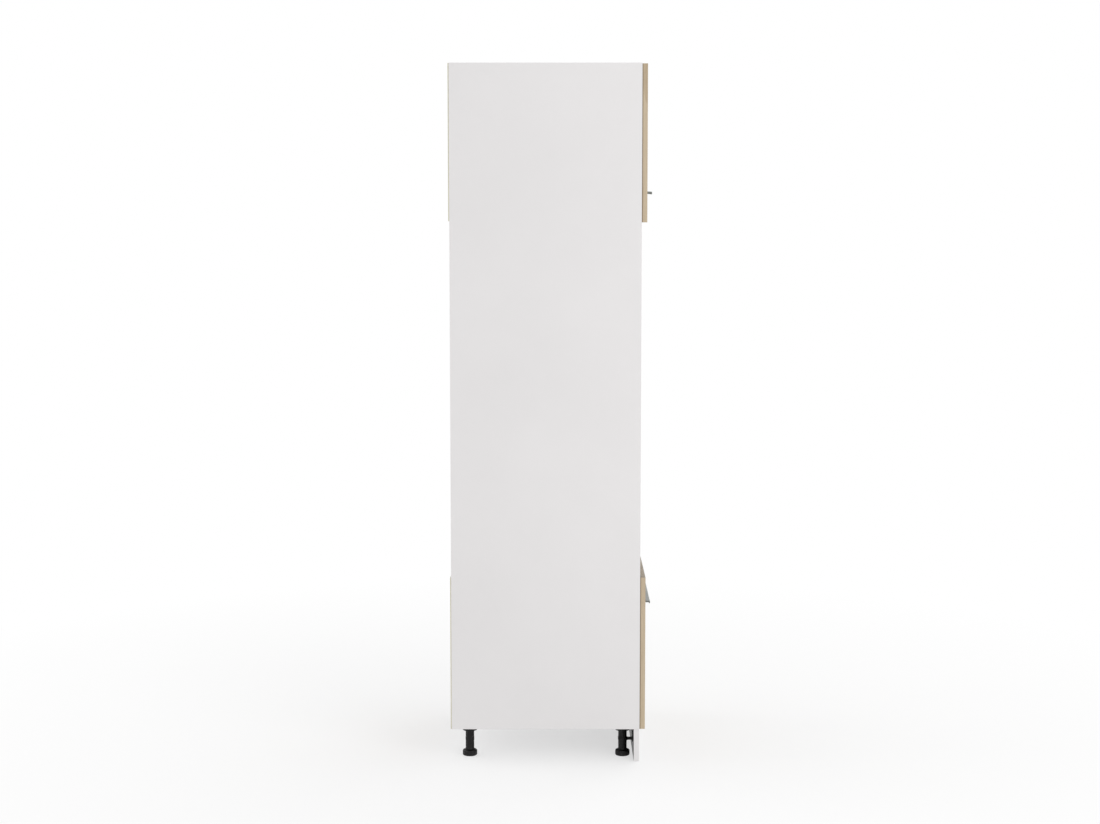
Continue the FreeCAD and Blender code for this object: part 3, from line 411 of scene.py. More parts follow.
class Finish(Nodes):
    """A material built up from its principled shader."""

    def __init__(self, name, roughness, shine=0.5, metallic=0.0):
        self.material = bpy.data.materials.new(name)
        self.material.use_nodes = True
        super().__init__(self.material.node_tree)
        self.shader = next(n for n in self.tree.nodes if n.type == "BSDF_PRINCIPLED")
        self.feed(self.shader, {"Roughness": roughness, "Metallic": metallic,
                                "Specular IOR Level": shine})
        self.place = self.node("TexCoord").outputs["Object"]

    def mapped(self, scale=(1, 1, 1), turn=(0, 0, 0), shift=(0, 0, 0), vector=None):
        """The place on the piece, shifted, turned and scaled."""
        turn = tuple(math.radians(part) for part in turn)
        return self.node("Mapping", {
            "Vector": vector or self.place, "Scale": scale, "Rotation": turn, "Location": shift,
        }).outputs[0]

    def noise(self, scale, vector=None, detail=3.0, roughness=0.55, distortion=0.0):
        """Soft noise from 0 to 1; the scale is in bumps for each metre."""
        return self.node("TexNoise", {
            "Vector": vector or self.place, "Scale": scale, "Detail": detail,
            "Roughness": roughness, "Distortion": distortion}).outputs[0]

    def drawn(self, scale, start=None, **more):
        """Noise drawn out, with a scale for each axis."""
        return self.noise(1.0, self.mapped(scale, vector=start), **more)

    def cells(self, scale, feature="F1"):
        """Distance to the nearest of scattered points."""
        return self.node("TexVoronoi", {"Vector": self.place, "Scale": scale},
                         feature=feature).outputs[0]

    def parts(self, vector):
        """The three parts of a vector."""
        return self.node("SeparateXYZ", {0: vector}).outputs

    def length(self, vector):
        """The length of a vector."""
        return self.node("VectorMath", {0: vector}, operation="LENGTH").outputs["Value"]

    def facing(self, axis, sign=1.0):
        """One where the surface looks along an axis, else nought."""
        part = self.parts(self.place.node.outputs["Normal"])[axis]
        return self.spread(self.maths("MULTIPLY", part, sign), 0.4, 0.6, 0, 1)

    def spread(self, value, low, high, new_low, new_high):
        """Carry a value from one range to another, held at its ends."""
        return self.node("MapRange", {
            "Value": value, "From Min": low, "From Max": high, "To Min": new_low,
            "To Max": new_high}).outputs[0]

    def swing(self, noise, new_low, new_high):
        """Carry the range that a noise mostly keeps to, 0.3 to 0.7, to another."""
        return self.spread(noise, 0.3, 0.7, new_low, new_high)

    def blend(self, share, first, second):
        """Two colours mixed by a share."""
        mix = self.node("Mix", data_type="RGBA")
        self.feed(mix, {0: share, 6: first, 7: second})
        return mix.outputs[2]

    def clouded(self, noise, colour, dark, light):
        """A colour that wanders between two tints of itself."""
        return self.blend(self.swing(noise, 0, 1), tint(colour, dark), tint(colour, light))

    def over(self, shown, colour, value, low, high, share):
        """What is shown with a colour over it, up to a share, as a value rises from low to high."""
        return self.blend(self.spread(value, low, high, 0, share), shown, colour)

    def ramp(self, value, stops):
        """Colours along a value."""
        made = self.node("ValToRGB", {"Fac": value})
        band = made.color_ramp
        while len(band.elements) < len(stops):
            band.elements.new(0.5)
        for element, (position, colour) in zip(band.elements, stops):
            element.position = position
            element.color = (*colour, 1.0)
        return made.outputs[0]

    def bump(self, height, distance, strength=1.0, below=None):
        """Relief of a given depth in metres, over another relief if there is one below."""
        inputs = {"Height": height, "Distance": distance, "Strength": strength}
        return self.node("Bump", {**inputs, "Normal": below} if below else inputs).outputs[0]

    def done(self, colour, roughness=None, normal=None):
        """Link what varies to the shader and give back the material."""
        linked = {"Base Color": colour, "Roughness": roughness, "Normal": normal}
        self.feed(self.shader, {key: value for key, value in linked.items() if value is not None})
        return self.material


def tint(colour, factor):
    """A colour made lighter or darker."""
    return tuple(min(1.0, part * factor) for part in colour)


def melamine(name, colour, painted_rear_shade=None):
    """Melamine on chipboard: a fine pebble, a faint cloudiness and slight changes of gloss.

    The colour given for the face that looks to the rear is painted shade: a near-black stands in
    for the shade under the carcass.
    """
    made = Finish(name, 0.42, 0.45)
    shown = made.clouded(made.noise(2.3, detail=4), colour, 0.975, 1.012)
    shown = made.over(shown, tint(colour, 0.6), made.noise(700, detail=1), 0.66, 0.76, 0.05)
    # Painted shade: the face that looks to the rear takes a near-black colour for the shade under
    # the carcass.
    if painted_rear_shade:
        shown = made.blend(made.facing("Y"), shown, painted_rear_shade)
    pebble = made.bump(made.cells(1500, "SMOOTH_F1"), 0.00005, 0.55)
    relief = made.bump(made.noise(2600, detail=2), 0.00002, 0.5, pebble)
    smear = made.noise(9, made.mapped((1, 1, 0.35)), detail=5, roughness=0.65)
    return made.done(shown, made.spread(smear, 0.35, 0.7, 0.36, 0.5), relief)


def oak(name, colours, centre, level=False):
    """Light oak decor with cathedral grain.

    The rings are distances from a trunk's axis that leans slowly through the board; a stretched
    noise bends them, and long fibres and short dark pores run with the grain.  A darker line along
    the rear of the edges is partly the rear laminate and partly painted shade of the gap between
    the front and the carcass.
    """
    light, dark, pore = colours.oak_light, colours.oak_dark, colours.oak_pore
    ring_width, laminate_and_gap_shade, pore_depth = 0.0085, 0.0024, 0.00005
    made = Finish(name, 0.46, 0.4)
    start = made.mapped(shift=tuple(-part for part in centre))
    if level:
        start = made.mapped(turn=(0, 90, 0), vector=start)
    wander = made.drawn((7, 7, 1.3), start, detail=4, roughness=0.5)
    ripple = made.drawn((60, 60, 5), start)
    bend = made.maths("ADD", made.maths("MULTIPLY", wander, 0.05),
                      made.maths("MULTIPLY", ripple, 0.0035))
    trunk = made.mapped(turn=(2.6, 0, 0), shift=(0.045, 0.034, 0), vector=start)
    radius = made.length(made.mapped((1, 1, 0), vector=trunk))
    count = made.maths("DIVIDE", made.maths("ADD", radius, bend), ring_width)
    phase = made.maths("FRACT", count)
    year = made.node("TexWhiteNoise", {"W": made.maths("FLOOR", count)}, noise_dimensions="1D")
    ring = made.ramp(phase, [(0.0, light), (0.45, tint(light, 0.95)), (0.84, dark),
                             (0.93, tint(dark, 0.93)), (1.0, light)])
    ring = made.blend(made.spread(year.outputs["Value"], 0, 1, 0.25, 1), light, ring)
    wash = made.drawn((5, 5, 0.8), start)
    shown = made.blend(made.swing(wash, 0.25, 0.62), ring, light)
    fibre = made.drawn((520, 520, 11), start, detail=4, roughness=0.6)
    shown = made.over(shown, tint(dark, 0.82), fibre, 0.3, 0.72, 0.42)
    streak = made.drawn((120, 120, 2.4), start)
    shown = made.over(shown, tint(light, 1.08), streak, 0.42, 0.7, 0.3)
    strokes = made.drawn((1300, 1300, 46), start, detail=1)
    pores = made.maths("MULTIPLY", made.spread(strokes, 0.6, 0.7, 0, 1),
                       made.spread(phase, 0.35, 0.95, 0.35, 1.0))
    shown = made.blend(made.maths("MULTIPLY", pores, 0.6), shown, pore)
    relief = made.bump(made.maths("SUBTRACT", 1.0, pores), pore_depth, 0.6,
                       made.bump(fibre, 0.00003, 0.5))
    # Partly laminate, partly painted shade: the edges darken near their rear, for the rear laminate
    # and for the shade in the gap between front and carcass.
    rear = float(box("drawer_front")[1][1])
    line = made.spread(made.parts(made.place)["Y"], rear - laminate_and_gap_shade - 0.0008, rear - laminate_and_gap_shade,
                       0, 0.75)
    line = made.maths("SUBTRACT", line, made.facing("Y"), clamp=True)
    shown = made.blend(line, shown, tint(pore, 0.75))
    return made.done(shown, made.swing(fibre, 0.4, 0.54), relief)


def nail_heads(made):
    """Small round heads in rows behind the side panels and behind each level board's edge.

    Along a row the distance to the nearest head is |frac(s / d) - 1/2| d, with d the spacing.
    """
    place = made.parts(made.place)
    across, up = place["X"], place["Z"]
    spacing, head = 0.118, 0.0019

    def row(along, off):
        share = made.maths("FRACT", made.maths("DIVIDE", along, spacing))
        step = made.maths("SUBTRACT", share, 0.5)
        ends = made.node("CombineXYZ", {0: made.maths("MULTIPLY", step, spacing), 1: off})
        return made.length(ends.outputs[0])

    side = abs(middle("side_panel_left")[0])
    nearest = row(up, made.maths("SUBTRACT", made.maths("ABSOLUTE", across), side))
    for board in NAILED_SHELVES:
        off = made.maths("SUBTRACT", up, float(middle(board)[2]))
        nearest = made.maths("MINIMUM", nearest, row(across, off))
    return made.spread(nearest, head * 0.8, head, 1, 0)


def hardboard(name, colours):
    """Thin fibre board: brown and mottled outside, painted white inside, pale on its cut edges."""
    made = Finish(name, 0.6, 0.35)
    brown = colours.hardboard_brown
    fluff = made.noise(260, detail=5, roughness=0.7)
    fleck = made.drawn((900, 900, 240))
    rear = made.over(tint(brown, 0.84), tint(brown, 1.12), fluff, 0.32, 0.68, 1)
    rear = made.over(rear, tint(brown, 0.55), fleck, 0.6, 0.74, 0.5)
    heads = nail_heads(made)
    rear = made.blend(heads, rear, colours.nail)
    edge = made.clouded(fluff, colours.hardboard_edge, 0.9, 1.0)
    shown = made.blend(made.facing("Y"), edge, rear)
    shown = made.blend(made.facing("Y", -1.0), shown, colours.white)
    relief = made.bump(heads, 0.0003, 0.8, made.bump(fluff, 0.00008, 0.5))
    return made.done(shown, made.swing(fluff, 0.5, 0.72), relief)


def metal(name, colour, roughness, grain=None, pits=0.00001):
    """Metal with clouded gloss; a grain direction draws its scratches out along one axis."""
    made = Finish(name, roughness, metallic=1.0)
    across, along, even = 2400, 24, 900
    lines = made.drawn(tuple(along if part else across for part in grain) if grain else (even,) * 3)
    patch = made.noise(38, detail=4, roughness=0.6)
    shown = made.clouded(patch, colour, 0.92, 1.08)
    shown = made.over(shown, tint(colour, 0.72), lines, 0.35, 0.75, 0.35 if grain else 0.1)
    gloss = made.maths("ADD", made.swing(lines, roughness - 0.05, roughness + 0.08),
                       made.swing(patch, -0.03, 0.05))
    return made.done(shown, gloss, made.bump(lines, pits, 0.7))


def zinc(name, colour):
    """Zinc plate, bluish with faint yellow patches and a soft crystal pattern."""
    made = Finish(name, 0.36, metallic=1.0)
    yellow = (colour[0] * 1.02, colour[1] * 0.93, colour[2] * 0.72)
    patch = made.noise(60)
    shown = made.over(colour, yellow, patch, 0.35, 0.7, 0.55)
    shown = made.over(shown, tint(colour, 0.66), made.cells(320), 0.0, 0.9, 0.22)
    relief = made.bump(made.noise(1400, detail=2), 0.00001, 0.6)
    return made.done(shown, made.swing(patch, 0.28, 0.44), relief)


def coated(name, colour, roughness=0.38):
    """Powder coat with its soft orange peel."""
    made = Finish(name, roughness)
    cloud = made.noise(14)
    return made.done(made.clouded(cloud, colour, 0.96, 1.02),
                     made.swing(cloud, roughness - 0.06, roughness + 0.08),
                     made.bump(made.noise(420, detail=2), 0.00006, 0.5))


def moulded(name, colour, roughness, grain=0.00003, dust=0.0, shine=0.45):
    """Moulded plastic with a fine eroded grain, flow marks and a little dust."""
    made = Finish(name, roughness, shine)
    flow, grey = made.noise(70, detail=4, distortion=0.6), srgb(150, 146, 140)
    shown = made.clouded(flow, colour, 0.86, 1.14)
    if dust:
        settled = made.noise(180, detail=5, roughness=0.7)
        shown = made.over(shown, grey, settled, 0.5, 0.8, dust)
    return made.done(shown, made.swing(flow, roughness - 0.07, roughness + 0.09),
                     made.bump(made.noise(1900, detail=2), grain, 0.6))


# ---------------------------------------------------------------- settings


def colour_of(name, description, *shown):
    """A colour that a user may change; its default is given as seen on a screen."""
    return bpy.props.FloatVectorProperty(name=name, description=description, subtype="COLOR",
                                         min=0, max=1, default=srgb(*shown))


def length_of(name, description, low, high, default):
    """A length that a user may change, in metres."""
    return bpy.props.FloatProperty(name=name, description=description, subtype="DISTANCE",
                                   unit="LENGTH", min=low, max=high, default=default)


class BoardSettings(bpy.types.PropertyGroup):
    """Colours and edge trim of the boards."""

    white: colour_of("White board", "Melamine of carcass and plinth", 229, 227, 227)
    grey: colour_of("Drawer board", "Melamine of the drawer's floor and back", 214, 214, 212)
    oak_light: colour_of("Oak, light wood", "Early wood of the oak decor", 199, 182, 156)
    oak_dark: colour_of("Oak, dark wood", "Late wood of the oak decor", 166, 144, 114)
    oak_pore: colour_of("Oak, pores", "Pores of the oak decor", 124, 104, 80)
    hardboard_brown: colour_of("Hardboard", "Rear face of the back panels", 150, 122, 92)
    hardboard_edge: colour_of("Hardboard edge", "Cut edge of the back panels", 214, 211, 190)
    nail: colour_of("Nails", "Heads of the nails in the back panels", 96, 92, 86)
    # Painted shade: this near-black colour on the plinth's rear face stands in for the shade under
    # the carcass.
    painted_rear_shade: colour_of("Plinth backing", "Dark paper on the plinth's rear face", 34, 31, 30)
    band_thick: length_of("Edge band", "How far an edge band stands off the board's edge",
                          0.0002, 0.003, 0.001)
    band_root: length_of("Edge band root", "How deep an edge band's back is let into the board",
                         0.0001, 0.002, 0.0004)


class FittingSettings(bpy.types.PropertyGroup):
    """Colours and sizes of handles, legs, runners, hinges and struts."""

    handle: colour_of("Handle", "Brushed metal of the handles", 128, 131, 128)
    zinc: colour_of("Zinc", "Zinc plate of brackets and screws", 190, 194, 198)
    nickel: colour_of("Nickel", "Nickel plate of the hinges", 200, 198, 192)
    runner: colour_of("Runner coat", "Powder coat of the runners", 232, 232, 228)
    nylon: colour_of("Nylon", "Wheels and small mouldings", 206, 204, 194)
    leg_black: colour_of("Leg plastic", "Black plastic of the legs", 14, 13, 14)
    strut_paint: colour_of("Strut paint", "Black paint of the gas cylinders", 30, 30, 31)
    strut_steel: colour_of("Strut rod", "Polished steel of the struts' rods", 214, 216, 220)
    strut_plastic: colour_of("Strut sockets", "Plastic of the struts' ball sockets", 38, 38, 39)
    rubber: colour_of("Buffers", "Clear rubber of the fronts' buffers", 205, 206, 203)
    screw_radius: length_of("Screw head", "Radius of the small screw heads", 0.001, 0.006, 0.0032)
    thread_pitch: length_of("Thread pitch", "Pitch of the foot's spindle", 0.001, 0.004, 0.0025)


class StageSettings(bpy.types.PropertyGroup):
    """Floor, lamps and camera."""

    floor: colour_of("Floor", "Pale floor", 244, 244, 244)
    lamp_power: bpy.props.FloatProperty(
        name="Lamps", description="Power of the key lamp, of which the others take a share",
        unit="POWER", min=0, max=2000, default=88)
    sky: bpy.props.FloatProperty(
        name="Sky", description="Strength of the even light all round", min=0, max=3, default=0.7)
    distance: length_of("Distance", "Camera to the housing's middle", 1, 20, 6.3)
    eye_height: length_of("Eye height", "Camera above the floor", 0, 5, 1.724)
    eye_offset: length_of("Eye offset", "Camera behind the housing's middle", -1, 1, 0.0035)
    pitch: bpy.props.FloatProperty(
        name="Pitch", description="Camera looking down", subtype="ANGLE", unit="ROTATION",
        min=-1, max=1, default=math.radians(6.0))
    lens: bpy.props.FloatProperty(
        name="Lens", description="Focal length in millimetres on a 36 mm sensor", min=10,
        max=300, default=67.19)
    rise: bpy.props.FloatProperty(
        name="Shift", description="Vertical lens shift, as a share of the width", min=-0.3,
        max=0.3, default=-0.012)


def settings_of(group):
    """The scene's settings of one kind."""
    return getattr(bpy.context.scene, "housing_" + group)


def palette(group, tone=1.0):
    """A group's settings as plain values, its colours made lighter or darker by a tone."""
    settings = settings_of(group)
    values = {key: getattr(settings, key) for key in settings.__annotations__}
    return SimpleNamespace(**{
        key: tint(value, tone) if hasattr(value, "__len__") else value
        for key, value in values.items()})


finishes = {}


def finish(key):
    """A finish made once and shared."""
    if key not in finishes:
        # The second palette holds the boards' colours in painted shade, for the fronts' level edge
        # bands.
        board, level = palette("boards"), palette("boards", LEVEL_PAINTED_SHADE)
        fitting = palette("fittings")
        lower, upper = middle("drawer_front"), middle("flap_front")
        other_log = np.array([0.11, 0, 0.2])
        makers = {
            "white_board": lambda: melamine(key, board.white),
            # The plinth's rear face gets painted shade.
            "plinth_board": lambda: melamine(key, board.white, board.painted_rear_shade),
            "grey_board": lambda: melamine(key, board.grey),
            "oak_lower": lambda: oak(key, board, lower),
            # The level finishes are copies of the oak in painted shade.
            "oak_lower_level": lambda: oak(key, level, lower, level=True),
            "oak_upper": lambda: oak(key, board, upper - other_log),
            "oak_upper_level": lambda: oak(key, level, upper, level=True),
            "hardboard": lambda: hardboard(key, board),
            "handle_metal": lambda: metal(key, fitting.handle, 0.34, grain=(1, 0, 0)),
            "zinc_steel": lambda: zinc(key, fitting.zinc),
            "hinge_steel": lambda: metal(key, fitting.nickel, 0.26, pits=0.000002),
            "runner_white": lambda: coated(key, fitting.runner),
            "wheel_plastic": lambda: moulded(key, fitting.nylon, 0.42),
            "leg_plastic": lambda: moulded(key, fitting.leg_black, 0.5, 0.00005, 0.02, 0.28),
            "strut_tube_paint": lambda: coated(key, fitting.strut_paint, 0.26),
            "strut_rod_steel": lambda: metal(key, fitting.strut_steel, 0.12, grain=(0, 0, 1)),
            "strut_socket": lambda: moulded(key, fitting.strut_plastic, 0.45),
            "clear_rubber": lambda: moulded(key, fitting.rubber, 0.3, 0.00001),
        }
        finishes[key] = makers[key]()
    return finishes[key]


# ---------------------------------------------------------------- pieces


def small_screw(scale=1.0):
    """A pan head screw with its cross."""
    radius = settings_of("fittings").screw_radius * scale
    return recessed_head(radius, 0.32 * radius, 0.2 * radius, 0.34 * radius, 0.62 * radius,
                         0.36 * radius)


def band_section(thick):
    """Section of an edge band, with its root let into the board and its back corners eased.

    The first number runs from the root into the board and the second across the board.
    """
    boards, half = settings_of("boards"), thick / 2 - 0.00002
    off, root, sharp, soft = -boards.band_thick, boards.band_root, 0.00005, 0.0005
    return rounded_outline([(off, -half), (root, -half), (root, half), (off, half)],
                           [sharp, soft, soft, sharp], 4)[::-1]


class HOUSING_OT_boards(bpy.types.Operator):
    """White boards of the carcass, their edge bands and the cam fittings that hold them."""

    bl_idname = "housing.boards"
    bl_label = "Carcass Boards"

    def execute(self, context):
        white = finish("white_board")
        sides = ["side_panel_" + side for side in SIDES]
        dress([*sides, *SHELVES], white, 0.0005)
        dress(["plinth_board"], finish("plinth_board"), 0.0005)
        for name, surface in (("side_edge_bands", self.front_bands(sides, 2, 0, 0.001)),
                              ("shelf_edge_bands", self.front_bands(SHELVES, 0, 2))):
            piece(name, surface, white, "carcass")
        beside, behind = 0.024, 0.064
        places = []
        for name in SHELVES:
            low, high = box(name)
            places += [(x, y, low[2]) for x in (low[0] + beside, high[0] - beside)
                       for y in (low[1] + behind, high[1] - behind)]
        cam = recessed_head(0.0075, 0.0004, 0.0001, 0.0014, 0.0045, 0.00035, 32, 12)
        zinc_piece("shelf_cams", stamped(cam, places, -Z))
        return {"FINISHED"}

    @staticmethod
    def front_bands(names, run, thick, spare=0.0):
        """Bands on the front edges of boards, along one numbered axis and thick along another."""
        bands = []
        for name in names:
            low, high = box(name)
            path = np.array([low + high, low + high]) / 2
            path[:, 1] = low[1]
            path[:, run] = low[run] + spare, high[run] - spare
            section = band_section(high[thick] - low[thick])[:, ::-1] * [1, -1]
            bands.append(carried(section, path, -Y))
        return joined(bands)


class HOUSING_OT_back_panels(bpy.types.Operator):
    """Hardboard back panels."""

    bl_idname = "housing.back_panels"
    bl_label = "Back Panels"

    def execute(self, context):
        dress(["back_panel_lower"], finish("hardboard"), 0.0003)
        dress(["back_panel_upper"], finish("hardboard"))
        return {"FINISHED"}


class HOUSING_OT_fronts(bpy.types.Operator):
    """Oak fronts with their edge bands and soft buffers."""

    bl_idname = "housing.fronts"
    bl_label = "Fronts"

    def execute(self, context):
        beside, below = 0.009, 0.012
        soft = dome(0.0042, 0.0006, 16, 5)
        for body, key in (("drawer", "oak_lower"), ("flap", "oak_upper")):
            front = body + "_front"
            # The level edge bands take the copy of the oak in painted shade.
            upright, level = finish(key), finish(key + "_level")
            dress([front], upright, 0.0004)
            low, high = box(front)
            y = (low[1] + high[1]) / 2
            path = [(low[0], y, low[2]), (high[0], y, low[2]), (high[0], y, high[2]),
                    (low[0], y, high[2])]
            section = band_section(high[1] - low[1])
            piece(body + "_edge_bands", carried(section, path, Y, closed=True), [upright, level],
                  body, finish_of_face=np.repeat([1, 0, 1, 0], len(section)))
            places = [(x, high[1], z) for x in (low[0] + beside, high[0] - beside)
                      for z in (low[2] + below, high[2] - below)]
            piece(body + "_buffers", stamped(soft, places, Y), finish("clear_rubber"), body)
        return {"FINISHED"}


class HOUSING_OT_handles(bpy.types.Operator):
    """Hooked metal handles and the screws that hold them."""

    bl_idname = "housing.handles"
    bl_label = "Handles"

    def execute(self, context):
        lip, drop, web, flange = 0.0035, 0.003, 0.005, 0.0025
        radii = [0.0004, 0.0004, 0.0022, 0.0013, 0.0013, 0.0009, 0.0022, 0.0008]
        for body in ("drawer", "flap"):
            node = body + "_handle"
            low, high = box(node)
            reach, top = high[1] - low[1], high[2] - low[2]
            under = top - web
            corners = [(0, 0), (0, top), (reach, top), (reach, under - drop),
                       (reach - lip, under - drop), (reach - lip, under), (flange, under),
                       (flange, 0)]
            path = [(low[0], high[1], low[2]), (high[0], high[1], low[2])]
            piece(node + "_bar", carried(rounded_outline(corners, radii, 7), path, Z),
                  finish("handle_metal"), body, bevel=0.0004, instead_of=node)
        dress(["drawer_handle_screws", "flap_handle_screws"], finish("zinc_steel"), 0.0003)
        return {"FINISHED"}


class HOUSING_OT_legs(bpy.types.Operator):
    """Adjustable legs: mounting plates, tubes, feet on threaded spindles and plinth clips."""

    bl_idname = "housing.legs"
    bl_label = "Legs"

    def execute(self, context):
        black = finish("leg_plastic")
        dress(["plinth_clips"], black, 0.0004)
        pitch = settings_of("fittings").thread_pitch
        plate_low, plate_high = box("leg_plates")
        tube_low, tube_high = box("leg_tubes")
        outside, plate_thick, screw_off = 0.0133, 0.0035, 0.0199
        tube = self.tube(outside, tube_high[2] - tube_low[2])
        socket = self.socket(outside + 0.0001, plate_high[2] - plate_low[2], plate_thick)
        spots = np.array([(-1, -1, 0), (1, -1, 0), (1, 1, 0), (-1, 1, 0)]) * screw_off
        plates, tubes, screws = [], [], []
        for node in (f"foot_{row}_{side}" for row in ("front", "rear") for side in SIDES):
            low, high = box(node)
            x, y = middle(node)[:2]
            foot = self.foot((high[0] - low[0]) / 2, high[2] - low[2], pitch)
            piece(node + "_round", placed(foot, (x, y, low[2])), black, node,
                  sharp=40, instead_of=node)
            tubes.append(placed(tube, (x, y, tube_low[2])))
            plates.append(placed(socket, (x, y, plate_low[2])))
            screws.append(stamped(small_screw(1.05), spots + [x, y, plate_high[2] - plate_thick],
                                  -Z))
        piece("leg_plates_round", joined(plates), black, "carcass", sharp=40,
              instead_of="leg_plates")
        piece("leg_tubes_fluted", joined(tubes), black, "carcass", sharp=40,
              instead_of="leg_tubes")
        zinc_piece("leg_plate_screws", joined(screws))
        self.clip_screws()
        return {"FINISHED"}

    @staticmethod
    def foot(radius, height, pitch):
        """Foot pad with sixteen shallow scallops, and its spindle.

        Round the grip the radius is R - s sin^2(8 a), with s fading to nothing at both bevels.  The
        spindle's radius follows its thread: r0 + d |2 frac(h / p - a / 2 pi) - 1|.
        """
        pad, grip, spindle, thread_depth = 0.0175, 0.0007, 0.0063, 0.0006
        sunk = pad - 0.0008
        profile = [(0, 0.0006), (radius - 0.0052, 0.0006), (radius - 0.0046, 0),
                   (radius - 0.0032, 0), (radius - 0.0017, 0.0007), (radius - 0.0006, 0.0019),
                   (radius, 0.0036), (radius, 0.0068), (radius, 0.0100), (radius, 0.0134),
                   (radius - 0.0003, 0.0147), (radius - 0.0011, 0.0160),
                   (radius - 0.0024, 0.0170), (radius - 0.0042, pad), (0.0098, pad),
                   (0.0092, sunk), (0.0064, sunk)]

        def scallop(r, h, a):
            share = np.clip((h - 0.0034) / 0.002, 0, 1) * np.clip((0.0147 - h) / 0.002, 0, 1)
            return r - grip * share * np.sin(8 * a) ** 2

        def thread(r, h, a):
            turn_share = np.abs(2 * np.mod(h / pitch - a / (2 * np.pi), 1) - 1)
            cut = (r > 0.006) & (h < height - 0.0007)
            return np.where(cut, r + thread_depth * turn_share, r)

        rise = np.arange(sunk, height - 0.0008, pitch / 8)
        shaft = np.stack([np.full(len(rise), spindle), rise], axis=-1)
        end = [(spindle - 0.0005, height - 0.0004), (0.005, height), (0, height)]
        return joined([turned(profile, 96, scallop), turned([*shaft, *end], 32, thread)])

    @staticmethod
    def socket(inside, height, thick):
        """Square plate with a round socket under it, eased where it ends round the tube.

        The socket is a ring turned about the leg's axis and the plate an eased block above it.
        """
        width, outside, rim = 0.048, 0.022, height - thick
        ring = turned([(inside, 0), (outside - 0.0012, 0), (outside - 0.0004, 0.0004),
                       (outside, 0.0013), (outside, rim), (inside, rim), (inside, 0)], 96)
        points, quads = eased_block((width, width, thick), 0.005, 0.0006)
        return joined([ring, (points + [0, 0, height - thick / 2], quads)])

    @staticmethod
    def tube(radius, height):
        """Leg tube with a foot ring, and twelve shallow flutes above and below the clip's seat.

        Between the rings the radius is R - f sin^2(6 a), with f fading to nothing at the rings.
        """
        bore, flute_depth = 0.0071, 0.0009
        levels = np.array([0, 0.0006, 0.0040, 0.0046, 0.0065, 0.0090, 0.0240, 0.0270, 0.0280,
                           0.0380, 0.0392, 0.0420, 0.0560, 0.0590, height - 0.0006, height])
        inset = np.array([6, 0, 0, 5, 5, 4, 4, 4, 0, 0, 4, 4, 4, 0, 0, 6]) / 10000
        outer = np.stack([radius - inset, levels], axis=-1)

        def flute(r, h, a):
            lower = np.clip((h - 0.0065) / 0.0025, 0, 1) * np.clip((0.0265 - h) / 0.0025, 0, 1)
            upper = np.clip((h - 0.0392) / 0.0028, 0, 1) * np.clip((0.0590 - h) / 0.0030, 0, 1)
            depth = flute_depth * np.maximum(lower, upper) * np.sin(6 * a) ** 2
            return np.where(r > bore + 0.001, r - depth, r)

        return turned([(bore, 0), *outer, (bore, height), (bore, 0)], 96, flute)

    @staticmethod
    def clip_screws():
        """Two screws hold each clip plate on the plinth's back."""
        plate, below, beside = 0.0025, 0.008, 0.0115
        top = box("plinth_clips")[1][2]
        rear = box("plinth_board")[1][1] + plate
        leg = abs(middle("foot_front_left")[0])
        places = [(sign * leg + dx, rear, top - below) for sign in SIDES.values()
                  for dx in (-beside, beside)]
        zinc_piece("clip_screws", stamped(small_screw(0.9), places, Y))


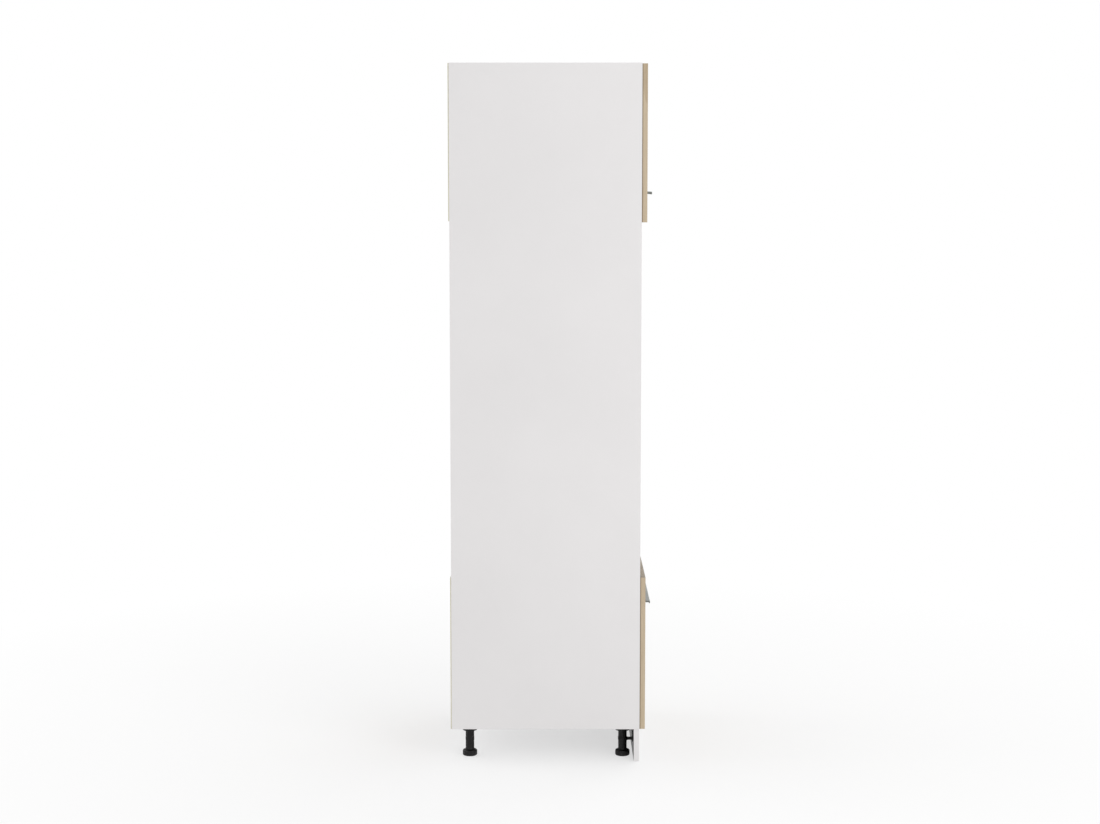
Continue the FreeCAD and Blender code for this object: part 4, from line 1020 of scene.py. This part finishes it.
class HOUSING_OT_drawer(bpy.types.Operator):
    """Drawer: runners, wheels, steel sides, boards, gallery rails and front fixings."""

    bl_idname = "housing.drawer"
    bl_label = "Drawer and Runners"

    def execute(self, context):
        steel, nylon = finish("runner_white"), finish("wheel_plastic")
        pairs = [name + side for name in ("runner_rail_", "drawer_side_") for side in SIDES]
        dress(pairs, steel, 0.0003)
        dress(["gallery_rail_left", "gallery_rail_right"], steel)
        dress(["gallery_holders"], nylon, 0.0008)
        dress(["front_fixings"], finish("zinc_steel"), 0.0003)
        dress(["drawer_floor", "drawer_back"], finish("grey_board"), 0.0004)
        half = 0.003
        for node in ("cabinet_wheels", "drawer_wheels"):
            low, high = box(node)
            rim = self.wheel((high[2] - low[2]) / 2, half)
            centre = (low[0] + half, *middle(node)[1:])
            piece(node + "_spoked", both(placed(rim, centre, X)), nylon, node,
                  instead_of=node)
        self.rail_screws()
        self.side_rivets()
        self.fixing_screws()
        return {"FINISHED"}

    @staticmethod
    def wheel(radius, half):
        """Runner wheel with a rounded tyre and six spokes.

        The faces are sunk by d sin^2(3 a) between hub and tyre.
        """
        bore, hub, tyre, step, sunk_by = 0.00205, 0.0042, radius - 0.0022, 0.0005, 0.0011
        points, quads = turned(ring_profile([
            (bore, -half), (hub, -half), (hub + 0.0004, step - half), (tyre - 0.0004, step - half),
            (tyre, -half), (radius - 0.0006, -half), (radius - 0.0001, 0.0006 - half),
            (radius, 0.0012 - half)]), 48)
        x, y, z = points.T
        sunk = (np.abs(np.abs(z) - (half - step)) < 1e-6) & (np.hypot(x, y) < radius - 0.002)
        depth = sunk_by * np.sin(3 * np.arctan2(y, x)) ** 2
        points[:, 2] -= np.where(sunk, np.sign(z) * depth, 0)
        return points, quads

    @staticmethod
    def rail_screws():
        """Three screws through each rail into the side panel."""
        low, high = box("runner_rail_left")
        wall, z = 0.0012, middle("drawer_wheels")[2]
        places = [(low[0] + wall, low[1] + share * (high[1] - low[1]), z)
                  for share in (0.2, 0.52, 0.93)]
        zinc_piece("rail_screws", both(stamped(small_screw(0.85), places, X)))

    @staticmethod
    def side_rivets():
        """Pressed rivets along the inner face of each drawer side."""
        low, high = box("drawer_side_left")
        inner, below = 0.0132, 0.02
        places = [(low[0] + inner, low[1] + share * (high[1] - low[1]), high[2] - below)
                  for share in (0.12, 0.5, 0.88)]
        zinc_piece("side_rivets", both(stamped(dome(0.0024, 0.0008, 14, 5), places, X)), "drawer")

    @staticmethod
    def fixing_screws():
        """Screws through each angle, two into the front and two into the side."""
        low, high = box("front_fixings")
        plate, end, across, back = 0.002, 0.012, 0.0125, 0.019
        y = box("drawer_front")[1][1] + plate
        heights = (low[2] + end, high[2] - end)
        front = stamped(small_screw(), [(low[0] + across, y, z) for z in heights], Y)
        side = stamped(small_screw(), [(low[0] + plate, y + back, z) for z in heights], X)
        zinc_piece("fixing_screws", both(front, side), "drawer")


class HOUSING_OT_hinges(bpy.types.Operator):
    """Concealed hinges of the flap and their screws."""

    bl_idname = "housing.hinges"
    bl_label = "Flap Hinges"

    def execute(self, context):
        nickel = finish("hinge_steel")
        dress(["hinge_arm_left", "hinge_arm_right", "hinge_plates", "hinge_cups"], nickel, 0.0003)
        x, arm_top = middle("hinge_arm_left")[0], box("hinge_arm_left")[1][2]
        start, end = (np.array([x, *joint(name)["pos_m"][1:]])
                      for name in ("link_swing", "flap_turn"))
        piece("hinge_links_rolled", both(self.link(start, end)), nickel, "hinge_links",
              instead_of="hinge_links")
        ear, cup_drop, foot, web = 0.0218, 0.0225, 0.017, 0.011
        wings, cup_z = box("hinge_cups")[1][1], box("flap_front")[1][2] - cup_drop
        cup = stamped(small_screw(0.9), [(x + dx, wings, cup_z) for dx in (-ear, ear)], Y)
        zinc_piece("cup_screws", both(cup), "flap")
        y, plate_z = middle("hinge_plates")[1], box("hinge_plates")[0][2]
        plate = stamped(small_screw(), [(x + dx, y, plate_z) for dx in (-foot, foot)], -Z)
        adjust = stamped(small_screw(1.1), [(x, y + dy, arm_top - web) for dy in (-0.008, 0.010)],
                         -Z)
        zinc_piece("hinge_screws", both(plate, adjust))
        return {"FINISHED"}

    @staticmethod
    def link(start, end):
        """Flat link with a rolled eye round each pin.

        Each eye is a ring turned about its pin and the flat an eased block from eye to eye.
        """
        half, bore, eye, thick, ease_by = 0.004, 0.00155, 0.0024, 0.0016, 0.0003
        ring = turned(ring_profile([(bore, -half), (eye - ease_by, -half),
                                    (eye, ease_by - half)]), 40)
        reach = np.linalg.norm(end - start)
        flat = eased_block((thick, 2 * half, reach - 1.7 * eye), 0.0006, ease_by)
        return joined([placed(ring, start, X), placed(ring, end, X),
                       placed(flat, (start + end) / 2, end - start)])


class HOUSING_OT_struts(bpy.types.Operator):
    """Gas struts of the flap, their seats and angles."""

    bl_idname = "housing.struts"
    bl_label = "Gas Struts"

    def execute(self, context):
        angles = ["strut_angle_" + side for side in SIDES]
        dress(["strut_seats", *angles], finish("zinc_steel"), 0.0004)
        lean, seat = (np.array(joint(name)[key], float)
                      for name, key in (("strut_extend", "axis"), ("strut_tilt", "pos_m")))
        off_middle, foot, head = 0.270, (-0.007, 0.0135), (0.3032, 0.3172)
        for side, sign in SIDES.items():
            start = seat + X * sign * off_middle
            for part, long, name, paint, ends in (
                    ("cylinder", self.tube(), "tube", "strut_tube_paint", foot),
                    ("rod", self.rod(), "bar", "strut_rod_steel", head)):
                node, body = f"strut_{part}_{side}", f"strut_{part}s"
                piece(f"{node}_{name}", placed(long, start, lean), finish(paint), body,
                      instead_of=node)
                piece(f"{node}_socket", placed(self.socket(*ends), start, lean, math.pi / 2),
                      finish("strut_socket"), body)
        self.screws()
        return {"FINISHED"}

    @staticmethod
    def tube():
        """Cylinder with a rounded foot, a rolled groove and a closed collar round the rod."""
        return turned([
            (0, 0.0135), (0.004, 0.0135), (0.0062, 0.0140), (0.0071, 0.0150), (0.0075, 0.0170),
            (0.0075, 0.1870), (0.0073, 0.1880), (0.0068, 0.1890), (0.0068, 0.1900),
            (0.0073, 0.1910), (0.0075, 0.1920), (0.0075, 0.1990), (0.0072, 0.2010),
            (0.0063, 0.2020), (0.0046, 0.2020), (0.00408, 0.2015), (0.00408, 0.1980),
            (0.0063, 0.1980), (0.0063, 0.0175), (0, 0.0175)], 48)

    @staticmethod
    def rod():
        """Polished rod with its piston inside the cylinder."""
        return turned([(0, 0.0320), (0.0062, 0.0320), (0.0062, 0.0380), (0.0040, 0.0382),
                       (0.0040, 0.3035), (0, 0.3035)], 32)

    @staticmethod
    def socket(start, end):
        """Ball socket: an eased block."""
        points, quads = eased_block((0.012, 0.012, end - start), 0.0035, 0.0012, 5)
        return points + [0, 0, (start + end) / 2], quads

    @staticmethod
    def screws():
        """Screws of the seats on the sides and of the angles on the flap, and the studs' rivets."""
        seat_plate, seat_off, angle_plate, angle_off = 0.003, 0.0082, 0.0025, 0.007
        x, (y, z) = box("strut_seats")[0][0] + seat_plate, middle("strut_seats")[1:]
        spots = [(x, y - seat_off, z + seat_off), (x, y + seat_off, z - seat_off)]
        zinc_piece("seat_screws", both(stamped(small_screw(0.9), spots, X)))
        low, high = box("strut_angle_left")
        x, _, z = middle("strut_angle_left")
        y = box("flap_front")[1][1] + angle_plate
        spots = [(x + 0.003, y, z + dz) for dz in (-angle_off, angle_off)]
        zinc_piece("angle_screws", both(stamped(small_screw(0.95), spots, Y)), "flap")
        stud = (low[0] + angle_plate, high[1] - 0.006, z)
        zinc_piece("angle_rivets", both(placed(dome(0.0034, 0.0012, 20, 6), stud, X)), "flap")


class HOUSING_OT_wall_brackets(bpy.types.Operator):
    """Angle brackets that hold the housing to the wall."""

    bl_idname = "housing.wall_brackets"
    bl_label = "Wall Brackets"

    def execute(self, context):
        dress(["wall_brackets"], finish("zinc_steel"), 0.0004)
        low, high = box("wall_brackets")
        plate, along, apart, inward = 0.002, 0.015, 0.008, 0.012
        places = [(low[0] + along + dx, low[1] + inward, high[2] - plate)
                  for dx in (-apart, apart)]
        zinc_piece("bracket_screws", both(stamped(small_screw(), places, -Z)))
        return {"FINISHED"}


class HOUSING_OT_stage(bpy.types.Operator):
    """Pale floor, even white surroundings, soft lamps and the camera."""

    bl_idname = "housing.stage"
    bl_label = "Stage"

    def execute(self, context):
        stage = settings_of("stage")
        context.scene.view_settings.view_transform = "Standard"
        self.floor(stage)
        self.world(stage)
        self.lamps(stage)
        self.camera(stage)
        return {"FINISHED"}

    @staticmethod
    def floor(stage):
        """A large disc, r = R s^2 on a polar grid, that fades to plain white far out."""
        points, quads = turned([(40 * share**2, 0) for share in np.linspace(0, 1, 24)], 96)
        mesh = bpy.data.meshes.new("floor")
        mesh.from_pydata(points, [], quads.tolist())
        mesh.validate()
        pale = Finish("floor_pale", 0.75, 0.2)
        pale.done(pale.clouded(pale.noise(3), tuple(stage.floor), 0.99, 1.0))
        fade = pale.spread(pale.length(pale.place), 0.5, 2.6, 0.6, 1)
        glow = pale.node("Emission", {"Color": (1.0, 1.0, 1.0), "Strength": 1.0})
        mix = pale.node("MixShader", {0: pale.maths("MULTIPLY", fade, pale.seen()),
                                      1: pale.shader.outputs[0], 2: glow.outputs[0]})
        output = next(n for n in pale.tree.nodes if n.type == "OUTPUT_MATERIAL")
        pale.feed(output, {"Surface": mix.outputs[0]})
        mesh.materials.append(pale.material)
        made = put("floor", mesh)

    @staticmethod
    def world(stage):
        """White to the camera and in reflections, and even light on the object."""
        world = bpy.data.worlds.new("surroundings")
        bpy.context.scene.world = world
        world.use_nodes = True
        world.node_tree.nodes.clear()
        nodes = Nodes(world.node_tree)
        even, white = (nodes.node("Background", {"Color": (1.0, 1.0, 1.0), "Strength": strength})
                       for strength in (stage.sky, 1.0))
        mix = nodes.node("MixShader", {0: nodes.seen(), 1: even.outputs[0], 2: white.outputs[0]})
        nodes.node("OutputWorld", {"Surface": mix.outputs[0]})

    @staticmethod
    def lamps(stage):
        """Large soft lamps over the left front, the right front and the rear."""
        for name, place, share in (("key_lamp", (-4.1, -3.1, 2.9), 1.0),
                                   ("fill_lamp", (4.0, -2.6, 2.8), 0.5),
                                   ("rear_lamp", (0.5, 4.4, 3.2), 0.6)):
            light = bpy.data.lights.new(name, "AREA")
            light.size = 3.0
            light.energy = stage.lamp_power * share
            made = put(name, light)
            made.location = place
            aim = Vector((0, 0, 1.0)) - made.location
            made.rotation_euler = aim.to_track_quat("-Z", "Y").to_euler()

    @staticmethod
    def camera(stage):
        """The photograph's view: square on to the left side, from eye height."""
        data = bpy.data.cameras.new("camera")
        data.sensor_width = 36
        data.lens = stage.lens
        data.shift_y = stage.rise
        data.clip_end = 200
        made = put("camera", data)
        made.location = (-stage.distance, stage.eye_offset, stage.eye_height)
        made.rotation_euler = (math.pi / 2 - stage.pitch, 0, -math.pi / 2)
        bpy.context.scene.camera = made


class HOUSING_PT_looks(bpy.types.Panel):
    """Lists the steps and settings of the housing's looks."""

    bl_idname = "HOUSING_PT_looks"
    bl_label = "Oven Housing"
    bl_space_type = "VIEW_3D"
    bl_region_type = "UI"
    bl_category = "Housing"

    def draw(self, context):
        for step in STEPS:
            self.layout.operator(step.bl_idname)
        for group in GROUPS:
            column, settings = self.layout.box(), settings_of(group)
            for key in settings.__annotations__:
                column.prop(settings, key)


STEPS = (HOUSING_OT_boards, HOUSING_OT_back_panels, HOUSING_OT_fronts, HOUSING_OT_handles,
         HOUSING_OT_legs, HOUSING_OT_drawer, HOUSING_OT_hinges, HOUSING_OT_struts,
         HOUSING_OT_wall_brackets, HOUSING_OT_stage)
GROUPS = {"boards": BoardSettings, "fittings": FittingSettings, "stage": StageSettings}


def register():
    """Make the settings, steps and panel known."""
    for key, group in GROUPS.items():
        bpy.utils.register_class(group)
        setattr(bpy.types.Scene, "housing_" + key, bpy.props.PointerProperty(type=group))
    for step in STEPS:
        bpy.utils.register_class(step)
    bpy.utils.register_class(HOUSING_PT_looks)


def unregister():
    """Take them away again."""
    bpy.utils.unregister_class(HOUSING_PT_looks)
    for step in reversed(STEPS):
        bpy.utils.unregister_class(step)
    for key, group in GROUPS.items():
        delattr(bpy.types.Scene, "housing_" + key)
        bpy.utils.unregister_class(group)


def main():
    """Run every step in order."""
    register()
    for step in STEPS:
        group, name = step.bl_idname.split(".")
        getattr(getattr(bpy.ops, group), name)()


if __name__ == "__main__":
    main()
